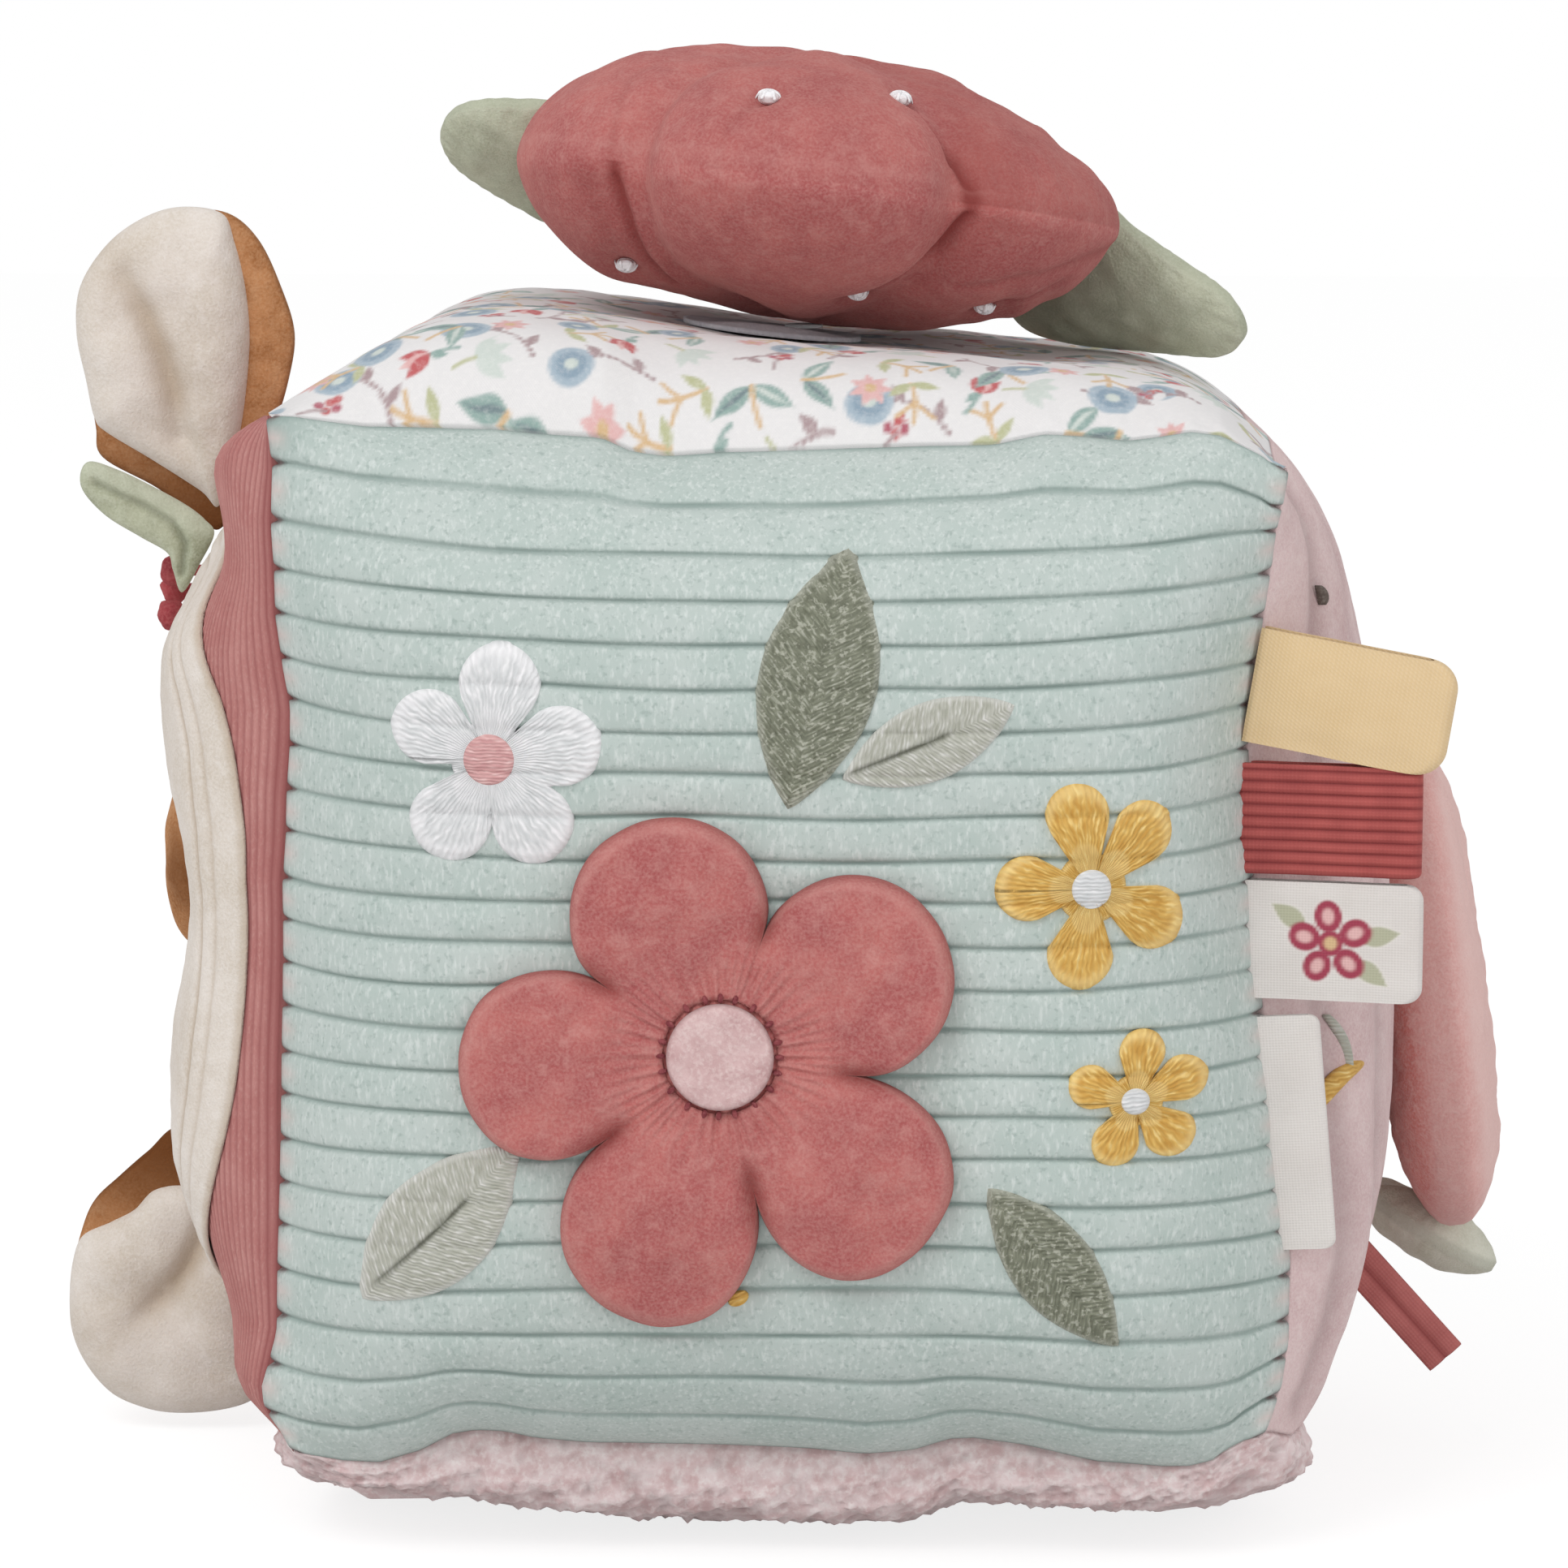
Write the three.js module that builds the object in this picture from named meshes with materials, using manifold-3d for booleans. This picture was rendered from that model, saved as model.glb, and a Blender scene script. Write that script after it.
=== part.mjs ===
// Soft activity block for a baby: a stuffed fabric cube of six sewn panels.
// It carries a sewn-on flower, embroidery, ribbon tabs, a plush flower, an animal face with ears,
// and a plush bud.
// Millimetres, +Z up, the front faces -Y, and the origin lies on the floor under the middle of the block.

import * as THREE from "three";
import { mergeVertices } from "three/addons/utils/BufferGeometryUtils.js";
import Module from "manifold-3d";

const wasm = await Module();
wasm.setup();

// Driving sizes of the block
const blockWidth = 150;
const blockDepth = 150;
const blockHeight = 152;
const crown = 17; // how far the stuffing pushes a face past its corners
const seamPull = 4.2; // how far a seam draws in between two corners
const topCrown = 18.5;
const topSag = 13.5; // how much less the top is filled at its right than at its left
const topDent = 3.1; // how deep the plush flower lies in the top
const rightCrown = 20;
const rightSag = 6; // how much less the right side is filled at its top than at its foot
const backTaperShare = 0.08; // how much narrower and lower the block is at its back
const floorLift = 17.5; // height of the bottom corners above the floor
const floorCrown = floorLift + 4; // the bottom is filled past the floor, and the floor presses it flat
const fabricThickness = 1.6;
const clearance = 0.4; // gap between two pieces that touch
const patchLift = 0.7; // gap under a patch that follows the curve of a panel
const crownPower = 5.5; // how boxy a stuffed face is: 2 is round, 10 is nearly flat
const rightCrownPower = 4;
const floorCrownPower = 8;

const blockCentreZ = floorLift + blockHeight / 2;
const halfSizes = new THREE.Vector3(blockWidth, blockDepth, blockHeight).multiplyScalar(0.5);

// Colours, taken by eye from the photograph
const colours = {
  mint: 0xbccdc6,
  print: 0xece8e6,
  coral: 0xc76a6d,
  rib: 0xbb5f66,
  blush: 0xdcb9b9,
  cream: 0xe2d9cf,
  camel: 0xb07a45,
  sage: 0xa9b299,
  moss: 0x7d8268,
  stone: 0xb9bdae,
  pinkFelt: 0xe6bfc2,
  whiteThread: 0xeef1f0,
  ochre: 0xdca63c,
  butter: 0xe3c893,
  brick: 0xa33f44,
  ribbonWhite: 0xf1ecec,
  stuffing: 0xf4f2ee,
  plastic: 0xd9dde0,
  dark: 0x4a3b33,
};

const materials = Object.fromEntries(
  Object.entries(colours).map(([name, color]) => [
    name,
    new THREE.MeshStandardMaterial({ color, roughness: 0.95, metalness: 0 }),
  ]),
);

// The six faces. Right, up and normal are right-handed, so that a pad laid on a face faces out.
const axes = {
  x: new THREE.Vector3(1, 0, 0),
  y: new THREE.Vector3(0, 1, 0),
  z: new THREE.Vector3(0, 0, 1),
};
const minus = (axis) => axis.clone().negate();
const faces = {
  front: { right: axes.x, up: axes.z, normal: minus(axes.y) },
  back: { right: minus(axes.x), up: axes.z, normal: axes.y },
  right: {
    right: axes.y, up: axes.z, normal: axes.x, crown: rightCrown, upSag: rightSag, power: rightCrownPower,
  },
  left: { right: minus(axes.y), up: axes.z, normal: minus(axes.x) },
  top: { right: axes.x, up: axes.y, normal: axes.z, crown: topCrown, sag: topSag, dent: topDent },
  bottom: {
    right: axes.x, up: minus(axes.y), normal: minus(axes.z),
    crown: floorCrown, power: floorCrownPower, onFloor: true,
  },
};

const halfAlong = (axis) => Math.abs(axis.dot(halfSizes));

// A point of a stuffed face, from the middle of the block. u and v run from -1 to 1 between the seams.
function facePoint(face, u, v, inset = 0, lift = 0) {
  const power = face.power ?? crownPower;
  const pullU = seamPull * (1 - u * u);
  const pullV = seamPull * (1 - v * v);
  const bulge = (1 - Math.abs(u) ** power) * (1 - Math.abs(v) ** power);
  const sagging = (face.sag ?? 0) * ((1 + u) / 2) + (face.upSag ?? 0) * ((1 + v) / 2);
  const dent = (face.dent ?? 0) * ((1 - u * u) * (1 - v * v)) ** 2;
  const swell = (face.crown ?? crown) - sagging - dent + 2 * seamPull;
  const across = u * (halfAlong(face.right) - inset - pullV);
  const along = v * (halfAlong(face.up) - inset - pullU);
  const stuffed = halfAlong(face.normal) - inset - pullU - pullV + swell * bulge;
  const out = face.onFloor ? Math.min(stuffed, blockCentreZ - inset) : stuffed;
  const point = new THREE.Vector3()
    .addScaledVector(face.right, across)
    .addScaledVector(face.up, along)
    .addScaledVector(face.normal, out + lift);
  const drawnIn = 1 - backTaperShare * Math.max(0, point.y / halfSizes.y) ** 2;
  point.x *= drawnIn;
  if (point.z > 0) point.z *= drawnIn;
  return point;
}

// The point of a face that lies about x across and y up from its middle, lifted off the fabric.
function onFace(face, x, y, lift = 0) {
  let u = 0;
  let v = 0;
  for (let round = 0; round < 4; round++) {
    u = x / (halfAlong(face.right) - seamPull * (1 - v * v));
    v = y / (halfAlong(face.up) - seamPull * (1 - u * u));
  }
  return facePoint(face, u, v, 0, lift);
}

// Geometry from lists of points and triangles
function geometryOf(points, triangles) {
  const geometry = new THREE.BufferGeometry();
  geometry.setAttribute("position", new THREE.Float32BufferAttribute(points.flatMap((p) => p.toArray()), 3));
  geometry.setIndex(triangles);
  geometry.computeVertexNormals();
  return geometry;
}

// Seam-to-seam places along a panel, closer together where the fabric turns down to its seam.
const panelSteps = 12;
const stations = Array.from({ length: panelSteps + 1 }, (_, i) =>
  Math.sin((Math.PI / 2) * ((2 * i) / panelSteps - 1)),
);

// One sewn panel: an outer and an inner skin of the same grid, joined round the edge.
function panelGeometry(face) {
  const edgeShare = 1 - clearance / Math.min(blockWidth, blockDepth, blockHeight);
  const side = stations.length;
  const skin = (inset) =>
    stations.flatMap((v) => stations.map((u) => facePoint(face, u * edgeShare, v * edgeShare, inset)));
  const points = [...skin(0), ...skin(fabricThickness)];
  const inner = side * side;
  const at = (i, j) => j * side + i;
  const triangles = [];
  for (let j = 0; j < panelSteps; j++)
    for (let i = 0; i < panelSteps; i++) {
      const [a, b, c, d] = [at(i, j), at(i + 1, j), at(i + 1, j + 1), at(i, j + 1)];
      triangles.push(a, b, c, a, c, d);
      triangles.push(inner + a, inner + c, inner + b, inner + a, inner + d, inner + c);
    }
  const last = panelSteps;
  const rim = [];
  for (let i = 0; i < last; i++) rim.push(at(i, 0));
  for (let j = 0; j < last; j++) rim.push(at(last, j));
  for (let i = last; i > 0; i--) rim.push(at(i, last));
  for (let j = last; j > 0; j--) rim.push(at(0, j));
  rim.forEach((a, k) => {
    const b = rim[(k + 1) % rim.length];
    triangles.push(a, inner + a, inner + b, a, inner + b, b);
  });
  return geometryOf(points, triangles);
}

// The closed skin of the stuffing, with the six faces sharing their edges.
function stuffedCubeGeometry(inset) {
  const points = [];
  const triangles = [];
  const numbers = new Map();
  const numberOf = (face, i, j) => {
    const place = new THREE.Vector3()
      .addScaledVector(face.right, 2 * i - panelSteps)
      .addScaledVector(face.up, 2 * j - panelSteps)
      .addScaledVector(face.normal, panelSteps);
    const key = place.toArray().map((n) => Math.round(n)).join();
    if (!numbers.has(key)) {
      numbers.set(key, points.length);
      points.push(facePoint(face, stations[i], stations[j], inset));
    }
    return numbers.get(key);
  };
  for (const face of Object.values(faces))
    for (let j = 0; j < panelSteps; j++)
      for (let i = 0; i < panelSteps; i++) {
        const corners = [[i, j], [i + 1, j], [i + 1, j + 1], [i, j + 1]];
        const [a, b, c, d] = corners.map(([m, n]) => numberOf(face, m, n));
        triangles.push(a, b, c, a, c, d);
      }
  return geometryOf(points, triangles);
}

// Outlines are lists of flat points, anticlockwise seen from the side that faces out.
const flat = (x, y) => new THREE.Vector2(x, y);

function ellipseOutline(halfLength, halfWidth, count) {
  return Array.from({ length: count }, (_, i) => {
    const angle = (2 * Math.PI * i) / count;
    return flat(halfLength * Math.cos(angle), halfWidth * Math.sin(angle));
  });
}

// A leaf with a point at both ends, its length along X.
function lensOutline(length, width, steps) {
  const side = (sign) =>
    Array.from({ length: steps }, (_, i) => {
      const share = i / steps;
      return flat(sign * length * (share - 0.5), sign * (-width / 2) * Math.sin(Math.PI * share) ** 0.8);
    });
  return [...side(1), ...side(-1)];
}

// A drop: a narrow root at X = 0, widest at fullShare of its length, with a round end.
function dropOutline(length, width, rootWidth, fullShare, steps) {
  const full = fullShare * length;
  const sideWidth = (share) => (rootWidth + (width - rootWidth) * Math.sin((Math.PI / 2) * share)) / 2;
  const side = (sign) =>
    Array.from({ length: steps }, (_, i) => flat(full * (i / steps), sign * sideWidth(i / steps)));
  const end = Array.from({ length: 2 * steps + 1 }, (_, i) => {
    const angle = (Math.PI / 2) * (i / steps - 1);
    return flat(full + (length - full) * Math.cos(angle), (width / 2) * Math.sin(angle));
  });
  return [...side(-1), ...end, ...side(1).reverse()];
}

// Round lobes about a middle. Each lobe gives its direction in degrees, how far out its middle is
// and its radius.
function lobedOutline(lobes, count) {
  return Array.from({ length: count }, (_, i) => {
    const angle = (2 * Math.PI * i) / count;
    const reaches = lobes.map(({ degrees, reach, radius }) => {
      const off = angle - THREE.MathUtils.degToRad(degrees);
      const miss = reach * Math.sin(off);
      if (Math.cos(off) < 0 || Math.abs(miss) > radius) return 0;
      return reach * Math.cos(off) + Math.sqrt(radius * radius - miss * miss);
    });
    const inside = Math.min(...lobes.map(({ reach, radius }) => Math.hypot(reach, radius) / 2));
    const out = Math.max(inside, ...reaches);
    return flat(out * Math.cos(angle), out * Math.sin(angle));
  });
}

// A closed pad: the outline drawn in ring by ring to its middle, with an upper and a lower side.
// heights(share, x, y) gives the lower and upper height there; place(x, y, height) puts it in space.
const upright = (x, y, height) => new THREE.Vector3(x, y, height);

function padGeometry({ outline, middle = flat(0, 0), rings, heights, place = upright }) {
  const points = [];
  const triangles = [];
  const count = outline.length;
  const sideSize = 1 + rings.length * count;
  for (const side of [1, 0]) {
    const put = (x, y, share) => points.push(place(x, y, heights(share, x, y)[side]));
    put(middle.x, middle.y, 0);
    for (const share of rings)
      for (const point of outline) {
        const at = middle.clone().lerp(point, share);
        put(at.x, at.y, share);
      }
  }
  const at = (side, ring, i) => side * sideSize + 1 + ring * count + (i % count);
  for (let i = 0; i < count; i++) {
    triangles.push(0, at(0, 0, i), at(0, 0, i + 1));
    triangles.push(sideSize, at(1, 0, i + 1), at(1, 0, i));
    for (let ring = 0; ring + 1 < rings.length; ring++) {
      const [a, b, c, d] = [at(0, ring, i), at(0, ring + 1, i), at(0, ring + 1, i + 1), at(0, ring, i + 1)];
      triangles.push(a, b, c, a, c, d);
      triangles.push(sideSize + a, sideSize + c, sideSize + b, sideSize + a, sideSize + d, sideSize + c);
    }
    const last = rings.length - 1;
    const [a, b] = [at(0, last, i), at(0, last, i + 1)];
    triangles.push(sideSize + a, sideSize + b, b, sideSize + a, b, a);
  }
  return geometryOf(points, triangles);
}

// How full a stuffed piece is at a ring share: 1 in the middle, 0 at its seam.
const fullness = (share, power = 2) => Math.max(0, 1 - share ** power);

// Heights of a pillow that swells the same on both sides of its seam.
const pillow = (rim, thickness, power = 2, roundness = 1) => (share) => {
  const half = (rim + (thickness - rim) * fullness(share, power) ** roundness) / 2;
  return [-half, half];
};

// Heights of a patch that lies flat on fabric and swells outwards.
const patch = (lift, rim, thickness, power = 2) => (share) => [
  lift,
  lift + rim + (thickness - rim) * fullness(share, power),
];

// Lays an outline on a face: turned by degrees and moved to x, y from the face's middle.
function layOn(face, x, y, degrees = 0) {
  const angle = THREE.MathUtils.degToRad(degrees);
  const [c, s] = [Math.cos(angle), Math.sin(angle)];
  return (px, py, height) => onFace(face, x + px * c - py * s, y + px * s + py * c, height);
}

// The object
const block = new THREE.Group();
block.position.z = blockCentreZ;

function add(parent, name, material, geometry) {
  const mesh = new THREE.Mesh(geometry, material);
  mesh.name = name;
  parent.add(mesh);
  return mesh;
}

// A group at a hinge, with its X along the piece and its Z out of the piece's upper side.
function hingeGroup(parent, origin, along, out) {
  const group = new THREE.Group();
  const side = new THREE.Vector3().crossVectors(out, along);
  group.position.copy(origin);
  group.quaternion.setFromRotationMatrix(new THREE.Matrix4().makeBasis(along, side, out));
  parent.add(group);
  return group;
}

const inXZ = (degrees) => {
  const angle = THREE.MathUtils.degToRad(degrees);
  return new THREE.Vector3(Math.cos(angle), 0, Math.sin(angle));
};

// Panels
const panelMaterials = {
  front: materials.mint,
  back: materials.mint,
  right: materials.blush,
  left: materials.rib,
  top: materials.print,
  bottom: materials.pinkFelt,
};
for (const [name, face] of Object.entries(faces))
  add(block, `${name}_panel`, panelMaterials[name], panelGeometry(face));

// Rattle capsule: a cup and a lid with a loose ball, in the middle of the stuffing
const rattleRadius = 15;
const rattleHeight = 24;
const rattleWall = 1.5;
const rattleBallRadius = 4;
const lidHeight = 8;

function cupGeometry(height) {
  const profile = [
    [0, 0],
    [rattleRadius, 0],
    [rattleRadius, height],
    [rattleRadius - rattleWall, height],
    [rattleRadius - rattleWall, rattleWall],
    [0, rattleWall],
  ].map(([r, z]) => flat(r, z));
  return new THREE.LatheGeometry(profile, 24).rotateX(Math.PI / 2);
}

const rattle = new THREE.Group();
rattle.position.z = -rattleHeight / 2;
block.add(rattle);
add(rattle, "rattle_cup", materials.plastic, cupGeometry(rattleHeight - lidHeight - clearance));
const lid = add(rattle, "rattle_lid", materials.plastic, cupGeometry(lidHeight));
lid.rotation.x = Math.PI;
lid.position.z = rattleHeight;
const ball = add(rattle, "rattle_ball", materials.coral, new THREE.SphereGeometry(rattleBallRadius, 12, 8));
ball.position.z = rattleWall + clearance + rattleBallRadius;

// Stuffing: the fill with a round well for the rattle, closed by a plug of fill under it
const stuffingInset = fabricThickness + clearance;
const wellRadius = rattleRadius + clearance;
const wellTop = rattleHeight / 2 + clearance;
const plugBottom = stuffingInset - blockCentreZ;

function solidOf(geometry) {
  const bare = new THREE.BufferGeometry();
  bare.setAttribute("position", geometry.getAttribute("position"));
  bare.setIndex(geometry.getIndex());
  const merged = mergeVertices(bare);
  return new wasm.Manifold(
    new wasm.Mesh({
      numProp: 3,
      vertProperties: merged.getAttribute("position").array,
      triVerts: new Uint32Array(merged.getIndex().array),
    }),
  );
}

function geometryFrom(solid) {
  const mesh = solid.getMesh();
  const geometry = new THREE.BufferGeometry();
  geometry.setAttribute("position", new THREE.BufferAttribute(mesh.vertProperties, 3));
  geometry.setIndex(new THREE.BufferAttribute(mesh.triVerts, 1));
  geometry.computeVertexNormals();
  return geometry;
}

function rodAlongZ(radius, from, to, sides = 24) {
  const rod = new THREE.CylinderGeometry(radius, radius, to - from, sides);
  return rod.rotateX(Math.PI / 2).translate(0, 0, (from + to) / 2);
}

const well = rodAlongZ(wellRadius, -blockHeight, wellTop);
const fill = solidOf(stuffedCubeGeometry(stuffingInset)).subtract(solidOf(well));
add(block, "stuffing_core", materials.stuffing, geometryFrom(fill));
const plug = rodAlongZ(wellRadius - clearance, plugBottom, -rattleHeight / 2 - clearance);
add(block, "stuffing_plug", materials.stuffing, plug);

// Sewn-on flower on the front: a stitched hub with a felt middle, and five petals that lift off the fabric
const flowerX = -0.1027 * halfSizes.x;
const flowerY = -0.1645 * halfSizes.z;
const hubRadius = 13.9;
const hubThickness = 4.2;
const petalLift = 2.2;
const petalRim = 1.2;
const petalThickness = 3.2;
const petalRootWidth = 17;
const feltRadius = 7.9;
const feltThickness = 1;
const petalReach = 25;
const petals = [
  { degrees: 110, reachShare: 0.876, radiusShare: 0.548 },
  { degrees: 31, reachShare: 0.952, radiusShare: 0.512 },
  { degrees: -43, reachShare: 1.084, radiusShare: 0.528 },
  { degrees: -110, reachShare: 1.012, radiusShare: 0.532 },
  { degrees: 183, reachShare: 1.008, radiusShare: 0.512 },
];
const petalRings = [0.55, 1];

add(block, "flower_hub", materials.coral, padGeometry({
  outline: ellipseOutline(hubRadius, hubRadius, 30),
  rings: [0.6, 1],
  heights: patch(patchLift, petalLift + petalRim - patchLift, hubThickness),
  place: layOn(faces.front, flowerX, flowerY),
}));
add(block, "flower_felt_centre", materials.pinkFelt, padGeometry({
  outline: ellipseOutline(feltRadius, feltRadius, 24),
  rings: [1],
  heights: patch(hubThickness + 2 * patchLift, feltThickness, feltThickness),
  place: layOn(faces.front, flowerX, flowerY),
}));
petals.forEach(({ degrees, reachShare, radiusShare }, i) => {
  const [reach, radius] = [reachShare * petalReach, radiusShare * petalReach];
  const angle = THREE.MathUtils.degToRad(degrees);
  const root = hubRadius + clearance;
  const full = reach - root;
  add(block, `flower_petal_${i + 1}`, materials.coral, padGeometry({
    outline: dropOutline(full + radius, 2 * radius, petalRootWidth, full / (full + radius), 6),
    middle: flat(full, 0),
    rings: petalRings,
    heights: patch(petalLift, petalRim, petalThickness),
    place: layOn(faces.front, flowerX + root * Math.cos(angle), flowerY + root * Math.sin(angle), degrees),
  }));
});

// Embroidery on the front. Places are shares of the face's half sizes from its middle, and a lobe's
// reach and radius are shares of its flower's size.
const threadThickness = 0.9;
const threadRim = 0.5;
const whiteFlowerSize = 11;
const largeYellowSize = 10.5;
const smallYellowSize = 7;
const embroideredFlowers = [
  {
    name: "white_flower", material: materials.whiteThread, middle: materials.pinkFelt,
    size: whiteFlowerSize, xShare: -0.5493, yShare: 0.4, middleShare: 0.3636,
    lobes: [
      [82, 1.018, 0.545], [11, 0.973, 0.545], [-56, 1.027, 0.545], [-122, 0.982, 0.545], [153, 0.9, 0.509],
    ],
  },
  {
    name: "yellow_flower_large", material: materials.ochre, middle: materials.whiteThread,
    size: largeYellowSize, xShare: 0.612, yShare: 0.1553, middleShare: 0.2952,
    lobes: [
      [101, 1.057, 0.448], [46, 1.086, 0.448], [-27, 0.99, 0.457], [-99, 0.971, 0.467], [180, 0.886, 0.457],
    ],
  },
  {
    name: "yellow_flower_small", material: materials.ochre, middle: materials.whiteThread,
    size: smallYellowSize, xShare: 0.6973, yShare: -0.2592, middleShare: 0.3,
    lobes: [
      [82, 1.029, 0.471], [23, 1.029, 0.486], [-49, 0.986, 0.5], [-115, 0.986, 0.486], [160, 0.971, 0.471],
    ],
  },
];
for (const { name, material, middle, size, xShare, yShare, middleShare, lobes } of embroideredFlowers) {
  const sized = lobes.map(([degrees, reachShare, radiusShare]) => (
    { degrees, reach: reachShare * size, radius: radiusShare * size }
  ));
  const place = layOn(faces.front, xShare * halfSizes.x, yShare * halfSizes.z);
  add(block, name, material, padGeometry({
    outline: lobedOutline(sized, 40),
    rings: [0.6, 1],
    heights: patch(patchLift, threadRim, threadThickness),
    place,
  }));
  add(block, `${name}_centre`, middle, padGeometry({
    outline: ellipseOutline(middleShare * size, middleShare * size, 14),
    rings: [1],
    heights: patch(2 * patchLift + threadThickness, threadRim, threadThickness),
    place,
  }));
}

// Embroidered leaves, with lengths and widths as shares of the longest
const leafLength = 39;
const embroideredLeaves = [
  {
    name: "moss_leaf_upper", material: materials.moss, xShare: 0.084, yShare: 0.5526, degrees: 77,
    lengthShare: 1, widthShare: 0.449,
  },
  {
    name: "stone_leaf_upper", material: materials.stone, xShare: 0.2987, yShare: 0.4368, degrees: 24,
    lengthShare: 0.705, widthShare: 0.295,
  },
  {
    name: "stone_leaf_lower", material: materials.stone, xShare: -0.648, yShare: -0.5053, degrees: 47,
    lengthShare: 0.846, widthShare: 0.397,
  },
  {
    name: "moss_leaf_lower", material: materials.moss, xShare: 0.5413, yShare: -0.5724, degrees: -50,
    lengthShare: 0.769, widthShare: 0.308,
  },
];
for (const { name, material, xShare, yShare, degrees, lengthShare, widthShare } of embroideredLeaves)
  add(block, name, material, padGeometry({
    outline: lensOutline(lengthShare * leafLength, widthShare * leafLength, 9),
    rings: [0.6, 1],
    heights: patch(patchLift, threadRim, threadThickness),
    place: layOn(faces.front, xShare * halfSizes.x, yShare * halfSizes.z, degrees),
  }));

// Ribbon tabs and a blank label in the right front seam. Each is a folded loop that turns about the seam.
const tabStandOff = 1.8; // from the seam to the tab's hinge, out along the corner
const tabForwardDegrees = 12;
const tabReach = 24.8;
const ribbonPly = 1;
const ribbonGap = 1.8;
const tabs = [
  {
    name: "butter_tab", material: materials.butter, yShare: 0.4816, droop: 6,
    reachShare: 1, widthShare: 0.2237, plyShare: 1, gapShare: 1,
  },
  {
    name: "brick_tab", material: materials.brick, yShare: 0.2408, droop: 0,
    reachShare: 0.911, widthShare: 0.2132, plyShare: 1.1, gapShare: 0.778,
  },
  {
    name: "white_tab", material: materials.ribbonWhite, yShare: 0.0079, droop: 0,
    reachShare: 0.935, widthShare: 0.2316, plyShare: 0.7, gapShare: 0.667,
  },
  {
    name: "blank_label", material: materials.ribbonWhite, yShare: -0.3553, droop: -5,
    reachShare: 0.339, widthShare: 0.4539, plyShare: 0.5, gapShare: 0.278,
  },
];

// A folded loop of ribbon, its length along X and its width along Z
function loopGeometry({ reach, width, ply, gap }) {
  const outer = gap / 2 + ply;
  const bend = reach - outer;
  const shape = new THREE.Shape();
  shape.moveTo(0, -outer);
  shape.lineTo(bend, -outer);
  shape.absarc(bend, 0, outer, -Math.PI / 2, Math.PI / 2);
  shape.lineTo(0, outer);
  shape.lineTo(0, gap / 2);
  shape.lineTo(bend, gap / 2);
  shape.absarc(bend, 0, gap / 2, Math.PI / 2, -Math.PI / 2, true);
  shape.lineTo(0, -gap / 2);
  const loop = new THREE.ExtrudeGeometry(shape, { depth: width, bevelEnabled: false, curveSegments: 6 });
  return loop.translate(0, 0, -width / 2);
}

const cornerOut = new THREE.Vector3(1, -1, 0).normalize();
for (const tab of tabs) {
  const width = tab.widthShare * halfSizes.z;
  const v = (tab.yShare * halfSizes.z) / (halfSizes.z - seamPull);
  const seam = facePoint(faces.front, 1, v);
  const hinge = seam.addScaledVector(cornerOut, tabStandOff);
  const droop = THREE.MathUtils.degToRad(tab.droop);
  const mesh = add(block, tab.name, tab.material, loopGeometry({
    reach: tab.reachShare * tabReach,
    width,
    ply: tab.plyShare * ribbonPly,
    gap: tab.gapShare * ribbonGap,
  }));
  mesh.position.copy(hinge);
  mesh.rotation.order = "ZYX";
  mesh.rotation.set(0, droop, -THREE.MathUtils.degToRad(tabForwardDegrees));
  mesh.translateX((width / 2) * Math.sin(Math.abs(droop)));
}

// Plush flower on the top: a felt disc and a thread shank carry it, and it rocks and twists on the shank
const plushX = 0.016 * halfSizes.x;
const plushY = -0.0267 * halfSizes.y;
const plushTiltDegrees = 7; // its right side is down
const plushLeanDegrees = 5.5; // its front is up
const plushRadius = 48;
const plushNotchRadius = 43;
const plushTopHeight = 21.7;
const plushUnderHeight = 19;
const plushRim = 2;
const plushCreaseShare = 0.14;
const plushFrontDegrees = -94;
const plushPetals = 5;
const baseRadius = 14;
const baseThickness = 0.7;
const shankRadius = 3;
const shankHeight = 0.5;
const topFace = faces.top;

add(block, "plush_base_disc", materials.pinkFelt, padGeometry({
  outline: ellipseOutline(baseRadius, baseRadius, 24),
  rings: [0.5, 1],
  heights: patch(clearance, baseThickness, baseThickness),
  place: layOn(topFace, plushX, plushY),
}));
const shankBottom = onFace(topFace, plushX, plushY, baseThickness + 3 * clearance);
const shankRod = rodAlongZ(shankRadius, 0, shankHeight, 10);
add(block, "plush_thread_shank", materials.whiteThread, shankRod).position.copy(shankBottom);

const plush = new THREE.Group();
plush.position.copy(shankBottom).addScaledVector(axes.z, shankHeight + clearance);
plush.rotation.x = -THREE.MathUtils.degToRad(plushLeanDegrees);
plush.rotation.y = THREE.MathUtils.degToRad(plushTiltDegrees);
block.add(plush);

// 0 along the middle of a plush petal, 1 along the crease between two
function notchShare(x, y) {
  const angle = Math.atan2(y, x) - THREE.MathUtils.degToRad(plushFrontDegrees);
  return (1 - Math.cos(plushPetals * angle)) / 2;
}

function plushEdge(angle) {
  const drawnIn = notchShare(Math.cos(angle), Math.sin(angle)) ** 2;
  const out = plushRadius - (plushRadius - plushNotchRadius) * drawnIn;
  return flat(out * Math.cos(angle), out * Math.sin(angle));
}
const plushOutline = Array.from({ length: 50 }, (_, i) => plushEdge((2 * Math.PI * i) / 50));

// Lower and upper height of the plush flower, from its hinge on the shank
function plushHeights(share, x, y) {
  const crease = 1 - plushCreaseShare * notchShare(x, y) * Math.sin(Math.PI * share);
  const over = plushTopHeight * fullness(share, 2.6) ** 0.58 * crease;
  const under = plushUnderHeight * fullness(share, 3) ** 0.65;
  return [plushUnderHeight - under, plushUnderHeight + plushRim + over];
}
add(plush, "plush_flower", materials.coral, padGeometry({
  outline: plushOutline,
  rings: [0.2, 0.44, 0.66, 0.84, 0.95, 1],
  heights: plushHeights,
}));

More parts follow.
